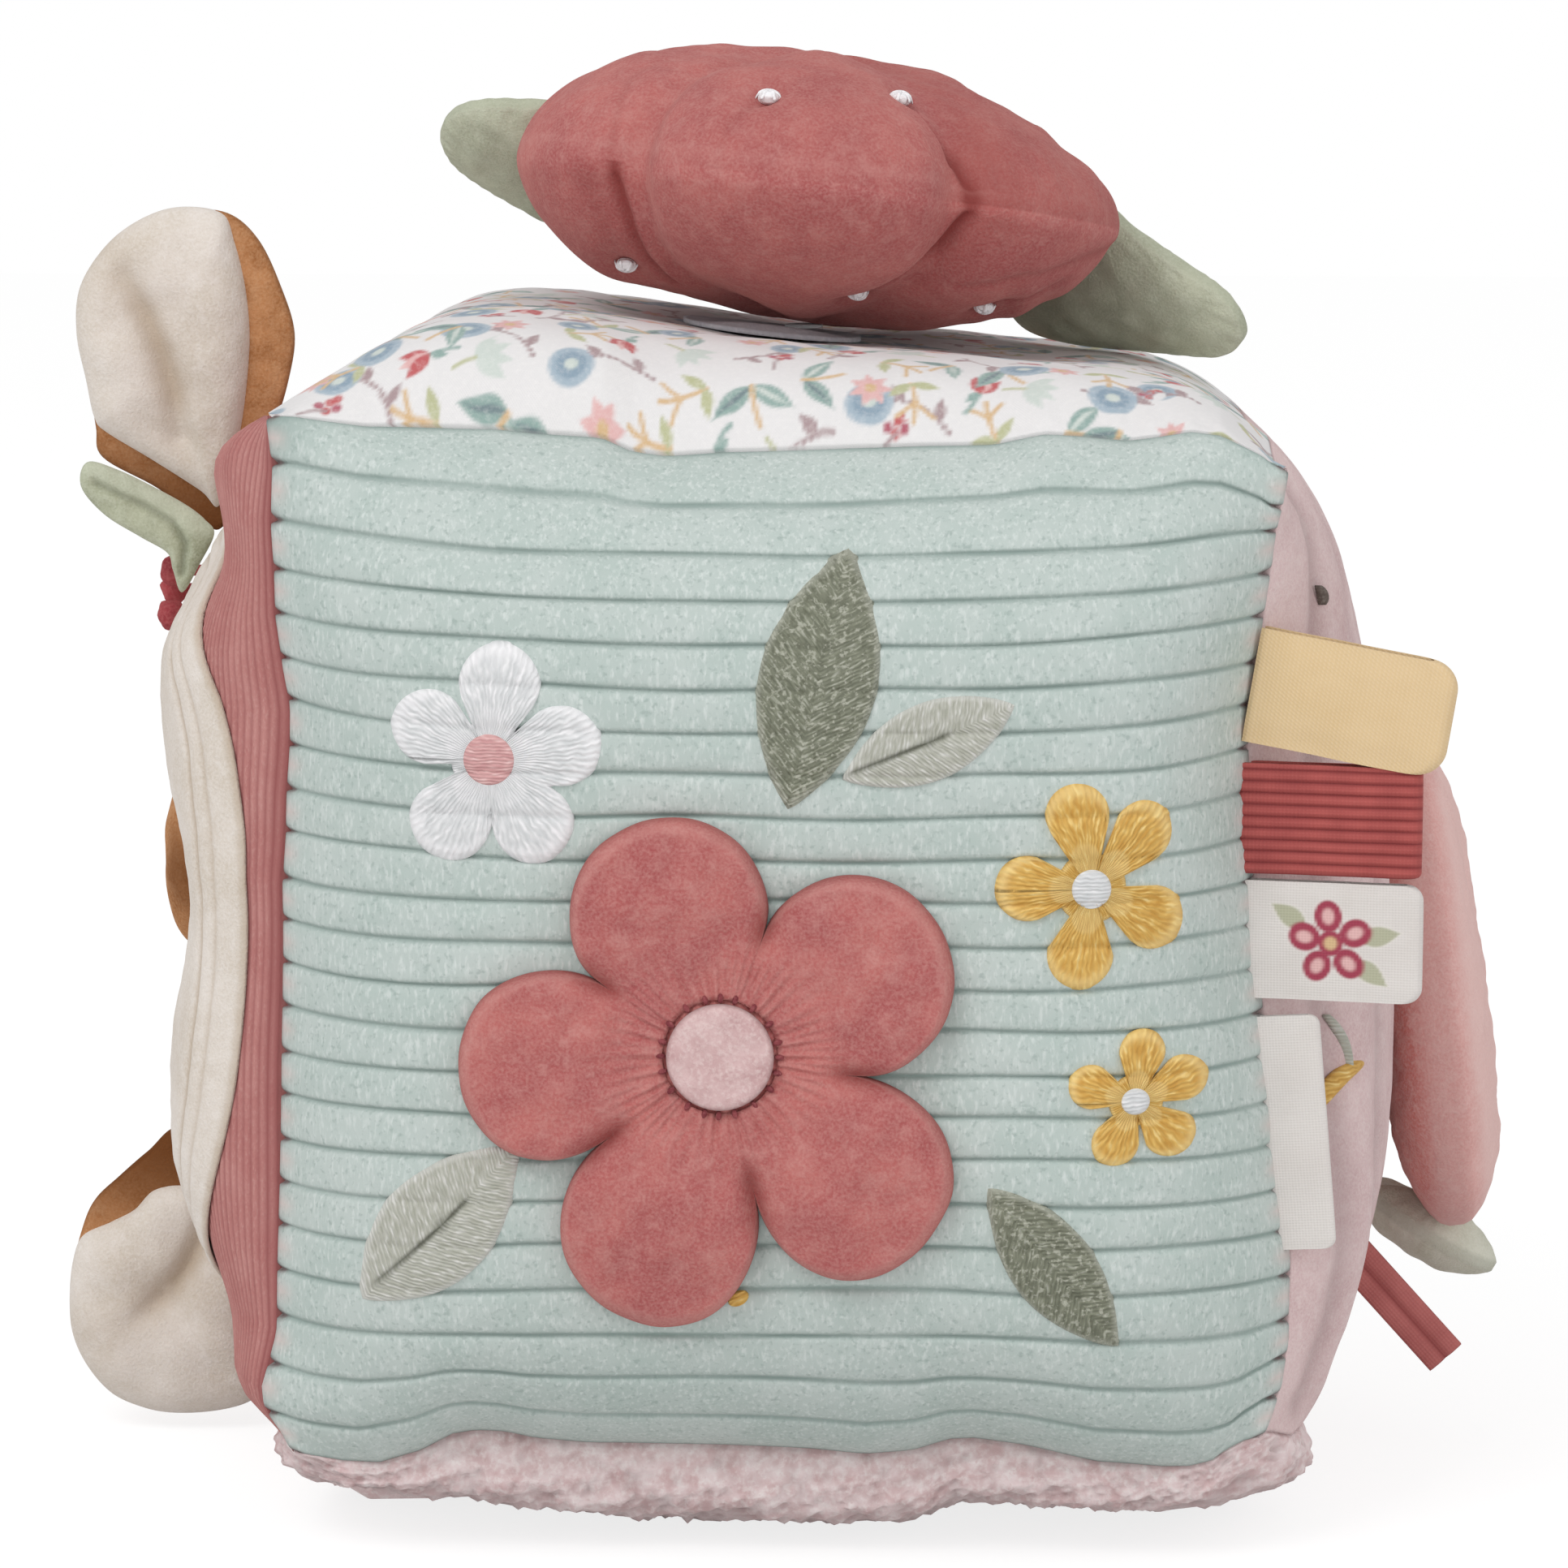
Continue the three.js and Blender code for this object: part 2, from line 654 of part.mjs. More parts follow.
// White stitched knots on the plush flower, each standing off along the lean of the velour under it
const knotRadius = 1.7;
const knots = [
  { degrees: -102, leanDegrees: 47, edgeShare: 0.9 },
  { degrees: -69, leanDegrees: 32, edgeShare: 0.81 },
  { degrees: 14, leanDegrees: 21, edgeShare: 0.6 },
  { degrees: 86, leanDegrees: 21, edgeShare: 0.6 },
  { degrees: 158, leanDegrees: 21, edgeShare: 0.6 },
];
knots.forEach(({ degrees, leanDegrees, edgeShare }, i) => {
  const [angle, lean] = [degrees, leanDegrees].map(THREE.MathUtils.degToRad);
  const { x, y } = plushEdge(angle).multiplyScalar(edgeShare);
  const ball = new THREE.SphereGeometry(knotRadius, 8, 6);
  const knot = add(plush, `plush_knot_${i + 1}`, materials.whiteThread, ball);
  const standOff = new THREE.Vector3(Math.cos(angle), Math.sin(angle), 0).multiplyScalar(Math.sin(lean));
  standOff.z = Math.cos(lean);
  knot.position.set(x, y, plushHeights(edgeShare, x, y)[1]);
  knot.position.addScaledVector(standOff, knotRadius + clearance);
});

// Two stuffed leaves sewn to the plush flower near its seam, sized by shares of its radius
const plushLeafGap = 0.8;
const plushLeafRootShare = 0.5208;
const plushLeafRim = 1;
const plushLeaves = [
  {
    name: "plush_leaf_left", seamDegrees: 166, directionDegrees: 176, slopeDegrees: -7, rollDegrees: 35,
    dropShare: -0.0042, lengthShare: 0.2917, widthShare: 0.5417, thicknessShare: 0.2292,
  },
  {
    name: "plush_leaf_right", seamDegrees: 10, directionDegrees: -12, slopeDegrees: 21, rollDegrees: -48,
    dropShare: 0.05, lengthShare: 0.5625, widthShare: 0.5625, thicknessShare: 0.1979,
  },
];
for (const leaf of plushLeaves) {
  const { name, seamDegrees, directionDegrees, slopeDegrees, rollDegrees } = leaf;
  const { lengthShare, widthShare, thicknessShare, dropShare } = leaf;
  const sizes = [lengthShare, widthShare, plushLeafRootShare, thicknessShare, dropShare];
  const [length, width, rootWidth, thickness, drop] = sizes.map((share) => share * plushRadius);
  const seam = THREE.MathUtils.degToRad(seamDegrees);
  const direction = THREE.MathUtils.degToRad(directionDegrees);
  const slope = THREE.MathUtils.degToRad(slopeDegrees);
  const flatWay = new THREE.Vector3(Math.cos(direction), Math.sin(direction), 0);
  const along = flatWay.clone().multiplyScalar(Math.cos(slope)).addScaledVector(axes.z, -Math.sin(slope));
  const out = flatWay.clone().multiplyScalar(Math.sin(slope)).addScaledVector(axes.z, Math.cos(slope));
  const root = new THREE.Vector3(Math.cos(seam), Math.sin(seam), 0);
  root.multiplyScalar(plushRadius + plushLeafGap);
  root.z = plushUnderHeight + plushRim / 2 - drop;
  out.applyAxisAngle(along, THREE.MathUtils.degToRad(rollDegrees));
  const group = hingeGroup(plush, root, along, out);
  add(group, name, materials.sage, padGeometry({
    outline: dropOutline(length, width, rootWidth, 0.5, 6),
    middle: flat(length / 2, 0),
    rings: [0.45, 0.8, 1],
    heights: pillow(plushLeafRim, thickness, 2.5, 0.7),
  }));
}

// Animal face on the left side, lying on its cheek: the chin towards the front, the ears above and below
const headX = 0.16 * halfSizes.y;
const headHalfLength = 0.7067 * halfSizes.y;
const headHalfHeight = 0.6842 * halfSizes.z;
const headLift = 1.1;
const headRim = 1.4;
const headThickness = 3.6;
const noseThickness = 1.6;
const eyeThickness = 0.9;
const headTop = headLift + headThickness;
const leftFace = faces.left;

add(block, "head_patch", materials.cream, padGeometry({
  outline: ellipseOutline(headHalfLength, headHalfHeight, 36),
  rings: [0.3, 0.55, 0.75, 0.9, 1],
  heights: patch(headLift, headRim, headThickness, 4),
  place: layOn(leftFace, headX, 0),
}));
// Their places and half sizes are shares of the head's half length.
const faceFeatures = [
  {
    name: "nose_patch", material: materials.camel, xShare: 0.0189, yShare: 0,
    halfLengthShare: 0.1698, halfHeightShare: 0.2453, thickness: noseThickness,
  },
  {
    name: "eye_upper", material: materials.dark, xShare: -0.1698, yShare: 0.3774,
    halfLengthShare: 0.0491, halfHeightShare: 0.0642, thickness: eyeThickness,
  },
  {
    name: "eye_lower", material: materials.dark, xShare: -0.1698, yShare: -0.3774,
    halfLengthShare: 0.0491, halfHeightShare: 0.0642, thickness: eyeThickness,
  },
];
for (const { name, material, xShare, yShare, halfLengthShare, halfHeightShare, thickness } of faceFeatures)
  add(block, name, material, padGeometry({
    outline: ellipseOutline(halfLengthShare * headHalfLength, halfHeightShare * headHalfLength, 20),
    rings: [0.6, 1],
    heights: patch(headTop + clearance, thickness / 2, thickness),
    place: layOn(leftFace, xShare * headHalfLength, yShare * headHalfLength),
  }));

// Ears: a camel back and a cream lining with a valley down its middle, facing the front
const earRootWidth = 14;
const earBackThickness = 6;
const earLiningThickness = 5;
const earLiningShare = 0.88; // the lining leaves a camel edge round it
const earValley = 2.2;
const earRim = 1;
const earLength = 49.5;
const earWidth = 35;
const earFullShare = 0.6;
const earStandOff = 23; // from the corners of the block to the root of an ear
const earBack = 5;
const ears = [
  {
    name: "ear_upper", standShare: 1, backShare: 1, upShare: 0.7237, degrees: 90,
    lengthShare: 1, widthShare: 1,
  },
  {
    name: "ear_lower", standShare: 0.935, backShare: 0.8, upShare: -0.6642, degrees: 256,
    lengthShare: 0.818, widthShare: 0.943,
  },
];
const earLiningHeights = (halfWidth) => (share, x, y) => {
  const valley = earValley * fullness(share) * Math.max(0, 1 - Math.abs(y) / (halfWidth / 2));
  return [clearance, clearance + earRim + (earLiningThickness - earRim) * fullness(share, 3) - valley];
};
for (const { name, standShare, backShare, upShare, degrees, lengthShare, widthShare } of ears) {
  const root = new THREE.Vector3(
    -halfSizes.x - standShare * earStandOff,
    backShare * earBack,
    upShare * halfSizes.z,
  );
  const group = hingeGroup(block, root, inXZ(degrees), minus(axes.y));
  const [length, width] = [lengthShare * earLength, widthShare * earWidth];
  const middle = flat(length * earFullShare, 0);
  const outline = dropOutline(length, width, earRootWidth, earFullShare, 6);
  add(group, `${name}_back`, materials.camel, padGeometry({
    outline,
    middle,
    rings: [0.5, 0.85, 1],
    heights: (share) => [-earRim - (earBackThickness - earRim) * fullness(share), 0],
  }));
  add(group, `${name}_lining`, materials.cream, padGeometry({
    outline: outline.map((p) => middle.clone().lerp(p, earLiningShare)),
    middle,
    rings: [0.35, 0.7, 1],
    heights: earLiningHeights(width / 2),
  }));
}

// Felt leaf and knotted berries by the upper ear
const berryRadius = 2.4;
const berries = [
  { xShare: 0.0377, yShare: 0.8774 },
  { xShare: 0.0566, yShare: 0.7736 },
  { xShare: -0.0566, yShare: 0.8019 },
];
berries.forEach(({ xShare, yShare }, i) => {
  const [x, y] = [xShare * headHalfLength, yShare * headHalfLength];
  const share = Math.hypot((x - headX) / headHalfLength, y / headHalfHeight);
  const lift = patch(headLift, headRim, headThickness, 4)(share)[1] + clearance + berryRadius;
  const berry = add(block, `berry_${i + 1}`, materials.coral, new THREE.SphereGeometry(berryRadius, 8, 6));
  berry.position.copy(onFace(leftFace, x, y, lift));
});

const earLeafLength = 20;
const earLeafWidth = 15;
const earLeafThickness = 3;
const earLeafRim = 1;
const earLeafRootWidth = 4;
const earLeafStandOff = 19;
const earLeafForward = 12;
const earLeafUpShare = 0.7171;
const earLeafX = -halfSizes.x - earLeafStandOff;
const earLeafRoot = new THREE.Vector3(earLeafX, -earLeafForward, earLeafUpShare * halfSizes.z);
const earLeafDegrees = 165;
const earLeafRoll = THREE.MathUtils.degToRad(50);
const earLeafWay = inXZ(earLeafDegrees);
const earLeafOut = inXZ(earLeafDegrees - 90).applyAxisAngle(earLeafWay, earLeafRoll);
const earLeaf = hingeGroup(block, earLeafRoot, earLeafWay, earLeafOut);
add(earLeaf, "ear_leaf", materials.sage, padGeometry({
  outline: dropOutline(earLeafLength, earLeafWidth, earLeafRootWidth, 0.5, 6),
  middle: flat(earLeafLength / 2, 0),
  rings: [0.6, 1],
  heights: pillow(earLeafRim, earLeafThickness),
}));

// Plush bud on the right side: a stuffed petal, a stuffed leaf and a tape, each hinged where it is sewn on
const budStandOff = 23; // from the corners of the block to the root of the bud
const budBack = 2;
const budRoot = new THREE.Vector3(halfSizes.x + budStandOff, budBack, 0.2368 * halfSizes.z);
const budLength = 1.0263 * halfSizes.z;
const budWidth = 46;
const budThickness = 15;
const budRootWidth = 10;
const budRim = 1.5;
const budFullShare = 0.55;
const budDegrees = -83;
const bud = hingeGroup(block, budRoot, inXZ(budDegrees), inXZ(budDegrees + 90));
add(bud, "side_bud", materials.coral, padGeometry({
  outline: dropOutline(budLength, budWidth, budRootWidth, budFullShare, 7),
  middle: flat(budLength * budFullShare, 0),
  rings: [0.35, 0.65, 0.87, 1],
  heights: pillow(budRim, budThickness, 3, 0.65),
}));

const sideLeafStandOff = 18;
const sideLeafBack = 11.5;
const sideLeafRootWidth = 8;
const sideLeafRim = 1;
const sideLeafRoot = new THREE.Vector3(halfSizes.x + sideLeafStandOff, sideLeafBack, -0.7237 * halfSizes.z);
const sideLeafLength = 23;
const sideLeafWidth = 17;
const sideLeafThickness = 8;
const sideLeafDegrees = -30;
const sideLeaf = hingeGroup(block, sideLeafRoot, inXZ(sideLeafDegrees), inXZ(sideLeafDegrees + 90));
add(sideLeaf, "side_leaf", materials.sage, padGeometry({
  outline: dropOutline(sideLeafLength, sideLeafWidth, sideLeafRootWidth, 0.5, 6),
  middle: flat(sideLeafLength / 2, 0),
  rings: [0.5, 1],
  heights: pillow(sideLeafRim, sideLeafThickness),
}));

const tapeStandOff = 15;
const tapeForward = 6;
const tapeRoot = new THREE.Vector3(halfSizes.x + tapeStandOff, -tapeForward, -0.8158 * halfSizes.z);
const tapeLength = 21;
const tapeWidth = 5.8;
const tapeThickness = 1.8;
const tapeDegrees = -48;
const tape = hingeGroup(block, tapeRoot, inXZ(tapeDegrees), minus(axes.y));
const tapeBox = new THREE.BoxGeometry(tapeLength, tapeWidth, tapeThickness, 4, 1, 1);
add(tape, "side_tape", materials.brick, tapeBox.translate(tapeLength / 2, 0, 0));

const object = new THREE.Group();
object.add(block);

export default object;
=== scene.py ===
import math
from collections import namedtuple

import bpy
import numpy as np
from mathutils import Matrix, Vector


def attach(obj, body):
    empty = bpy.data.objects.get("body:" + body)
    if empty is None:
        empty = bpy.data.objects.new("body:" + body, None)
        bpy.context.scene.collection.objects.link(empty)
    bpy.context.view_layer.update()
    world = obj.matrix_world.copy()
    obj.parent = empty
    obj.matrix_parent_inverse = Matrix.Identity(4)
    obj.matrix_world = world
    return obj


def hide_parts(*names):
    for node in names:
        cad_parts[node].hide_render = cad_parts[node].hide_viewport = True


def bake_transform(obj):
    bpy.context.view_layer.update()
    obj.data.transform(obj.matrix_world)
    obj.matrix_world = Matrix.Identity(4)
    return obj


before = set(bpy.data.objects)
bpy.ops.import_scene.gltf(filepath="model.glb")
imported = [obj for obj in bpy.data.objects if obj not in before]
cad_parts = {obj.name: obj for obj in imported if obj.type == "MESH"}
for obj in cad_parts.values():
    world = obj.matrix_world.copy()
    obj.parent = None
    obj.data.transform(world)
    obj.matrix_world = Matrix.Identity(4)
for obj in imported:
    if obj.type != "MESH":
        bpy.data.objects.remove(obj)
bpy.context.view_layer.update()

# Sizes of the block, the same as in the part's source
METRES = 0.001
HALF = np.array([75.0, 75.0, 76.0])
CENTRE_Z = 93.5
CROWN = 17.0
SEAM_PULL = 4.2
TAPER_SHARE = 0.08
CLOTH = 1.6
CLEARANCE = 0.4
CROWN_POWER = 5.5
EDGE_SHARE = 1 - CLEARANCE / (2 * HALF[0])

X, Y, Z = np.eye(3)
FACES = {
    "front": dict(right=X, up=Z, normal=-Y),
    "back": dict(right=-X, up=Z, normal=Y),
    "right": dict(right=Y, up=Z, normal=X, crown=20.0, up_sag=6.0, power=4.0),
    "left": dict(right=-Y, up=Z, normal=-X),
    "top": dict(right=X, up=Y, normal=Z, crown=18.5, sag=13.5, dent=3.1),
    "bottom": dict(right=X, up=-Y, normal=-Z, crown=21.5, power=8.0, on_floor=True),
}

# How the sewn seams of the front wander: places and offsets in shares of the block's half sizes.
# The side seams give (up, to the right), and the seams above and below give (to the right, up).
LEFT_SEAM_SHARES = [
    (-1.0, 0.03), (-0.96, 0.005), (-0.91, -0.035), (-0.87, -0.045), (-0.77, -0.025), (-0.64, -0.035),
    (-0.46, -0.04), (-0.22, -0.045), (-0.06, -0.045), (0.11, -0.043), (0.2, -0.033), (0.29, -0.027),
    (0.38, -0.017), (0.46, -0.011), (0.54, -0.019), (0.64, -0.024), (0.73, -0.017), (0.82, -0.013),
    (0.9, 0.0), (1.0, 0.0),
]
RIGHT_SEAM_SHARES = [
    (-1.0, -0.04), (-0.96, -0.02), (-0.89, 0.007), (-0.79, 0.03), (-0.62, 0.047), (-0.46, 0.04),
    (-0.3, 0.03), (-0.11, 0.007), (0.13, -0.013), (0.27, -0.024), (0.43, -0.035), (0.59, -0.025),
    (0.75, -0.016), (0.91, -0.013), (1.0, -0.01),
]
BOTTOM_SEAM_SHARES = [
    (-1.0, -0.02), (-0.89, -0.05), (-0.81, -0.062), (-0.72, -0.046), (-0.655, -0.018), (-0.61, -0.014),
    (-0.55, -0.021), (-0.49, -0.038), (-0.38, -0.053), (-0.23, -0.06), (0.05, -0.07), (0.17, -0.079),
    (0.265, -0.068), (0.34, -0.041), (0.39, -0.036), (0.49, -0.043), (0.63, -0.064), (0.78, -0.059),
    (0.84, -0.051), (0.89, -0.034), (0.92, -0.009), (0.96, 0.016), (1.0, 0.03),
]
TOP_SEAM_SHARES = [
    (-1.0, 0.035), (-0.95, 0.038), (-0.81, 0.032), (-0.72, 0.038), (-0.55, 0.045), (-0.48, 0.041),
    (-0.35, 0.039), (-0.29, 0.014), (-0.22, 0.007), (-0.11, 0.017), (0.13, 0.025), (0.28, 0.027),
    (0.42, 0.025), (0.47, 0.034), (0.52, 0.041), (0.6, 0.032), (0.68, 0.019), (0.74, 0.022),
    (0.81, 0.027), (0.87, 0.014), (0.92, -0.014), (0.95, -0.032), (0.97, -0.05), (1.0, -0.06),
]
BOTTOM_BROAD_SHARE = -0.055
FOOT_SHARE = 0.06  # how far the foot of the sides is pushed out

# Where the stuffed sides swell or are drawn in: middle, reach and push, in millimetres
SWELLS = [
    ((-100.0, -20.0, 8.0), (40.0, 80.0, 55.0), (1.2, 0.0, 0.0)),
    ((-97.0, -34.0, -58.0), (30.0, 36.0, 15.0), (4.5, 0.0, 0.0)),
    ((-88.0, -52.0, 71.0), (25.0, 20.0, 6.5), (-7.5, 0.0, 0.5)),
    ((-95.0, -45.0, 54.0), (30.0, 24.0, 9.0), (5.0, 0.0, 0.0)),
    ((-78.0, -56.0, -84.0), (20.0, 22.0, 12.0), (-3.0, 0.0, 0.0)),
    ((-98.0, -36.0, 1.0), (40.0, 26.0, 14.0), (3.6, 0.0, 0.0)),
    ((97.0, -35.0, 42.0), (30.0, 40.0, 14.0), (-2.8, 0.0, 0.0)),
    ((80.0, -54.0, -84.0), (26.0, 24.0, 15.0), (6.5, 0.0, 0.0)),
    ((84.0, -52.0, -74.0), (20.0, 26.0, 14.0), (0.0, 0.0, -4.5)),
    ((40.0, 10.0, 95.0), (15.0, 60.0, 25.0), (0.0, 0.0, -1.8)),
]


def half_along(axis):
    return abs(float(axis @ HALF))


def offset_at(place, shares):
    where, offset = np.array(shares).T
    return np.interp(place, where, offset)


def sewn(p):
    """The same places on the block once the front's hand-sewn seams have wandered."""
    u, w, v = (p[..., k] / HALF[k] for k in range(3))
    front = smooth(-0.6, -0.88, w)
    left = offset_at(v, LEFT_SEAM_SHARES) * smooth(-0.63, -0.95, u)
    right = offset_at(v, RIGHT_SEAM_SHARES) * smooth(0.63, 0.95, u)
    broad = BOTTOM_BROAD_SHARE * (1 - np.clip(np.abs(u), 0, 1) ** 2)
    rest = offset_at(u, BOTTOM_SEAM_SHARES) - broad
    bottom = broad * smooth(-0.42, -0.95, v) + rest * smooth(-0.66, -0.94, v)
    top = offset_at(u, TOP_SEAM_SHARES) * smooth(0.78, 0.95, v)
    foot = FOOT_SHARE * np.sign(u) * smooth(0.82, 1.0, np.abs(u)) * bell(v + 1.06, 0.16)
    foot = foot * (1 - np.clip(np.abs(w), 0, 1) ** 6)
    moved = np.array(p)
    moved[..., 0] += ((left + right) * front + foot) * HALF[0]
    moved[..., 2] += (bottom + top) * front * HALF[2]
    behind = smooth(-0.985, -0.87, w)
    for middle, reach, push in SWELLS:
        near = np.exp(-(((p - np.array(middle)) / np.array(reach)) ** 2).sum(-1)) * behind
        moved = moved + near[..., None] * np.array(push)
    return moved


def face_points(face, u, v, inset=0.0, lift=0.0):
    """Points of a stuffed face. u and v run from -1 to 1 between the seams."""
    f = FACES[face]
    u, v = np.broadcast_arrays(np.asarray(u, float), np.asarray(v, float))
    power = f.get("power", CROWN_POWER)
    pull_u = SEAM_PULL * (1 - u * u)
    pull_v = SEAM_PULL * (1 - v * v)
    bulge = (1 - np.abs(u) ** power) * (1 - np.abs(v) ** power)
    sagging = f.get("sag", 0.0) * (1 + u) / 2 + f.get("up_sag", 0.0) * (1 + v) / 2
    dent = f.get("dent", 0.0) * ((1 - u * u) * (1 - v * v)) ** 2
    swell = f.get("crown", CROWN) - sagging - dent + 2 * SEAM_PULL
    across = u * (half_along(f["right"]) - inset - pull_v)
    along = v * (half_along(f["up"]) - inset - pull_u)
    out = half_along(f["normal"]) - inset - pull_u - pull_v + swell * bulge
    if f.get("on_floor"):
        out = np.minimum(out, CENTRE_Z - inset)
    out = out + lift
    p = across[..., None] * f["right"] + along[..., None] * f["up"] + out[..., None] * f["normal"]
    drawn_in = 1 - TAPER_SHARE * np.maximum(0, p[..., 1] / HALF[1]) ** 2
    p[..., 0] *= drawn_in
    p[..., 2] = np.where(p[..., 2] > 0, p[..., 2] * drawn_in, p[..., 2])
    return p


def face_uv(face, x, y):
    """The u and v of the point x across and y up from a face's middle."""
    f = FACES[face]
    u, v = np.zeros_like(x), np.zeros_like(y)
    for _ in range(4):
        u, v = (
            x / (half_along(f["right"]) - SEAM_PULL * (1 - v * v)),
            y / (half_along(f["up"]) - SEAM_PULL * (1 - u * u)),
        )
    return u, v


def on_face(face, x, y, lift):
    u, v = face_uv(face, np.asarray(x, float), np.asarray(y, float))
    return sewn(face_points(face, u, v, 0.0, lift))


def cos_sin(degrees):
    a = math.radians(degrees)
    return math.cos(a), math.sin(a)


def lay_on(face, x, y, degrees=0.0):
    """A placer for pieces that lie on a face, turned and moved from its middle."""
    c, s = cos_sin(degrees)
    return lambda px, py, h: on_face(face, x + px * c - py * s, y + px * s + py * c, h)


def hinged(origin, along, out):
    """A placer for pieces at a hinge, with X along the piece and Z out of its upper side."""
    side = np.cross(out, along)
    return lambda px, py, h: origin + px[..., None] * along + py[..., None] * side + h[..., None] * out


def in_xz(degrees):
    c, s = cos_sin(degrees)
    return np.array([c, 0.0, s])


def turned(vector, axis, degrees):
    c, s = cos_sin(degrees)
    return vector * c + np.cross(axis, vector) * s + axis * (axis @ vector) * (1 - c)


def ripple(seed, size, *where):
    """Smooth noise of about -1 to 1 with bumps about that size."""
    random = np.random.default_rng(seed)
    total = 0.0
    for _ in range(8):
        way = random.normal(size=len(where))
        way /= np.linalg.norm(way)
        turn = 2 * math.pi / size * random.uniform(0.5, 1.4)
        total = total + np.sin(turn * sum(w * c for w, c in zip(way, where)) + random.uniform(0, 2 * math.pi))
    return total / 4


def ripples(rows, *where):
    """Ripples of several sizes together, each given as its seed, size and height."""
    return sum(height * ripple(seed, size, *where) for seed, size, height in rows)


def smooth(low, high, value):
    t = np.clip((value - low) / (high - low), 0, 1)
    return t * t * (3 - 2 * t)


def bell(value, width):
    return np.exp(-((value / width) ** 2))


def line_gap(x, y, points):
    """How far x, y is from a line through points, and how far along it the nearest place is, from 0 to 1."""
    points = np.asarray(points, float)
    best = np.full(np.shape(x), np.inf)
    along = np.zeros(np.shape(x))
    for k, (a, b) in enumerate(zip(points, points[1:])):
        way = b - a
        share = np.clip(((x - a[0]) * way[0] + (y - a[1]) * way[1]) / (way @ way), 0, 1)
        gap = np.hypot(x - a[0] - share * way[0], y - a[1] - share * way[1])
        along = np.where(gap < best, (k + share) / (len(points) - 1), along)
        best = np.minimum(best, gap)
    return best, along


def smooth_loop(corners, steps=8):
    """A closed curve through the corners."""
    p = np.asarray(corners, float)
    before, after, beyond = np.roll(p, 1, 0), np.roll(p, -1, 0), np.roll(p, -2, 0)
    t = (np.arange(steps) / steps)[None, :, None]
    a, b, c, d = before[:, None], p[:, None], after[:, None], beyond[:, None]
    bent = (2 * a - 5 * b + 4 * c - d) * t ** 2
    twisted = (3 * b - a - 3 * c + d) * t ** 3
    return (0.5 * (2 * b + (c - a) * t + bent + twisted)).reshape(-1, 2)


def fullness(share, power=2.0, roundness=1.0):
    """How full a pad is on the way from its middle, 0, to its edge, 1."""
    return np.maximum(0, 1 - share ** power) ** roundness


def rings(count, power=0.6):
    """Ring shares from the middle to the edge, closer together at the edge."""
    return (np.arange(1, count + 1) / count) ** power


# Outlines
def ellipse(half_length, half_width, count):
    a = np.linspace(0, 2 * np.pi, count, endpoint=False)
    return np.stack([half_length * np.cos(a), half_width * np.sin(a)], -1)


def rounded_square(half_length, half_width, power, count):
    c, s = ellipse(1.0, 1.0, count).T
    out = (np.abs(c) ** power + np.abs(s) ** power) ** (-1 / power)
    return np.stack([half_length * out * c, half_width * out * s], -1)


def lens(length, width, steps):
    share = np.arange(steps) / steps
    one = np.stack([length * (share - 0.5), -width / 2 * np.sin(math.pi * share) ** 0.8], -1)
    return np.concatenate([one, -one])


def drop(length, width, root_width, full_share, steps, tuck):
    """A drop with its root at 0, which reaches a tuck back into what it is sewn to."""
    full = full_share * length
    s = np.arange(steps) / steps
    half = (root_width + (width - root_width) * np.sin(math.pi / 2 * s)) / 2
    low = np.stack([full * s, -half], -1)
    high = np.stack([full * s, half], -1)[::-1]
    a = math.pi / 2 * (np.arange(2 * steps + 1) / steps - 1)
    end = np.stack([full + (length - full) * np.cos(a), width / 2 * np.sin(a)], -1)
    root = np.stack([np.zeros(steps - 1), root_width / 2 * (1 - 2 * np.arange(1, steps) / steps)], -1)
    corners = np.concatenate([low, end, high, root])
    corners[:, 0] -= tuck * (corners[:, 0] < full / steps / 2)
    return corners


def lobed(lobes, count):
    """The outline of a flower. Each lobe is a circle: its direction, how far out it is, and its radius."""
    a = np.linspace(0, 2 * np.pi, count, endpoint=False)
    out = np.full(count, min(math.hypot(reach, radius) / 2 for _, reach, radius in lobes))
    for degrees, reach, radius in lobes:
        off = a - math.radians(degrees)
        miss = reach * np.sin(off)
        hit = (np.cos(off) > 0) & (np.abs(miss) < radius)
        edge = reach * np.cos(off) + np.sqrt(np.maximum(radius ** 2 - miss ** 2, 0))
        out = np.where(hit, np.maximum(out, edge), out)
    return np.stack([out * np.cos(a), out * np.sin(a)], -1)


# Meshes
def quads_of_grid(rows, columns, start=0, closed=False):
    """Faces of a grid of points, row by row. A closed grid joins its last column to its first."""
    i = np.arange(rows - 1)[:, None] * columns
    j = np.arange(columns if closed else columns - 1)[None, :]
    k = (j + 1) % columns
    return start + np.stack([i + j, i + k, i + columns + k, i + columns + j], -1).reshape(-1, 4)


def closed_sheet(top, bottom):
    """A closed body between two grids of points of the same shape, with walls along their edges."""
    rows, columns = top.shape[:2]
    count = rows * columns
    points = np.concatenate([top.reshape(-1, 3), bottom.reshape(-1, 3)])
    number = np.arange(count).reshape(rows, columns)
    rim = np.concatenate([number[0, :-1], number[:-1, -1], number[-1, :0:-1], number[:0:-1, 0]])
    after = np.roll(rim, -1)
    walls = np.stack([rim, rim + count, after + count, after], -1)
    return points, [quads_of_grid(rows, columns), quads_of_grid(rows, columns, count)[:, ::-1], walls]


# A pad's mesh, with the flat place of each point and its share of the way from the middle to the edge
Pad = namedtuple("Pad", "points faces x y share")


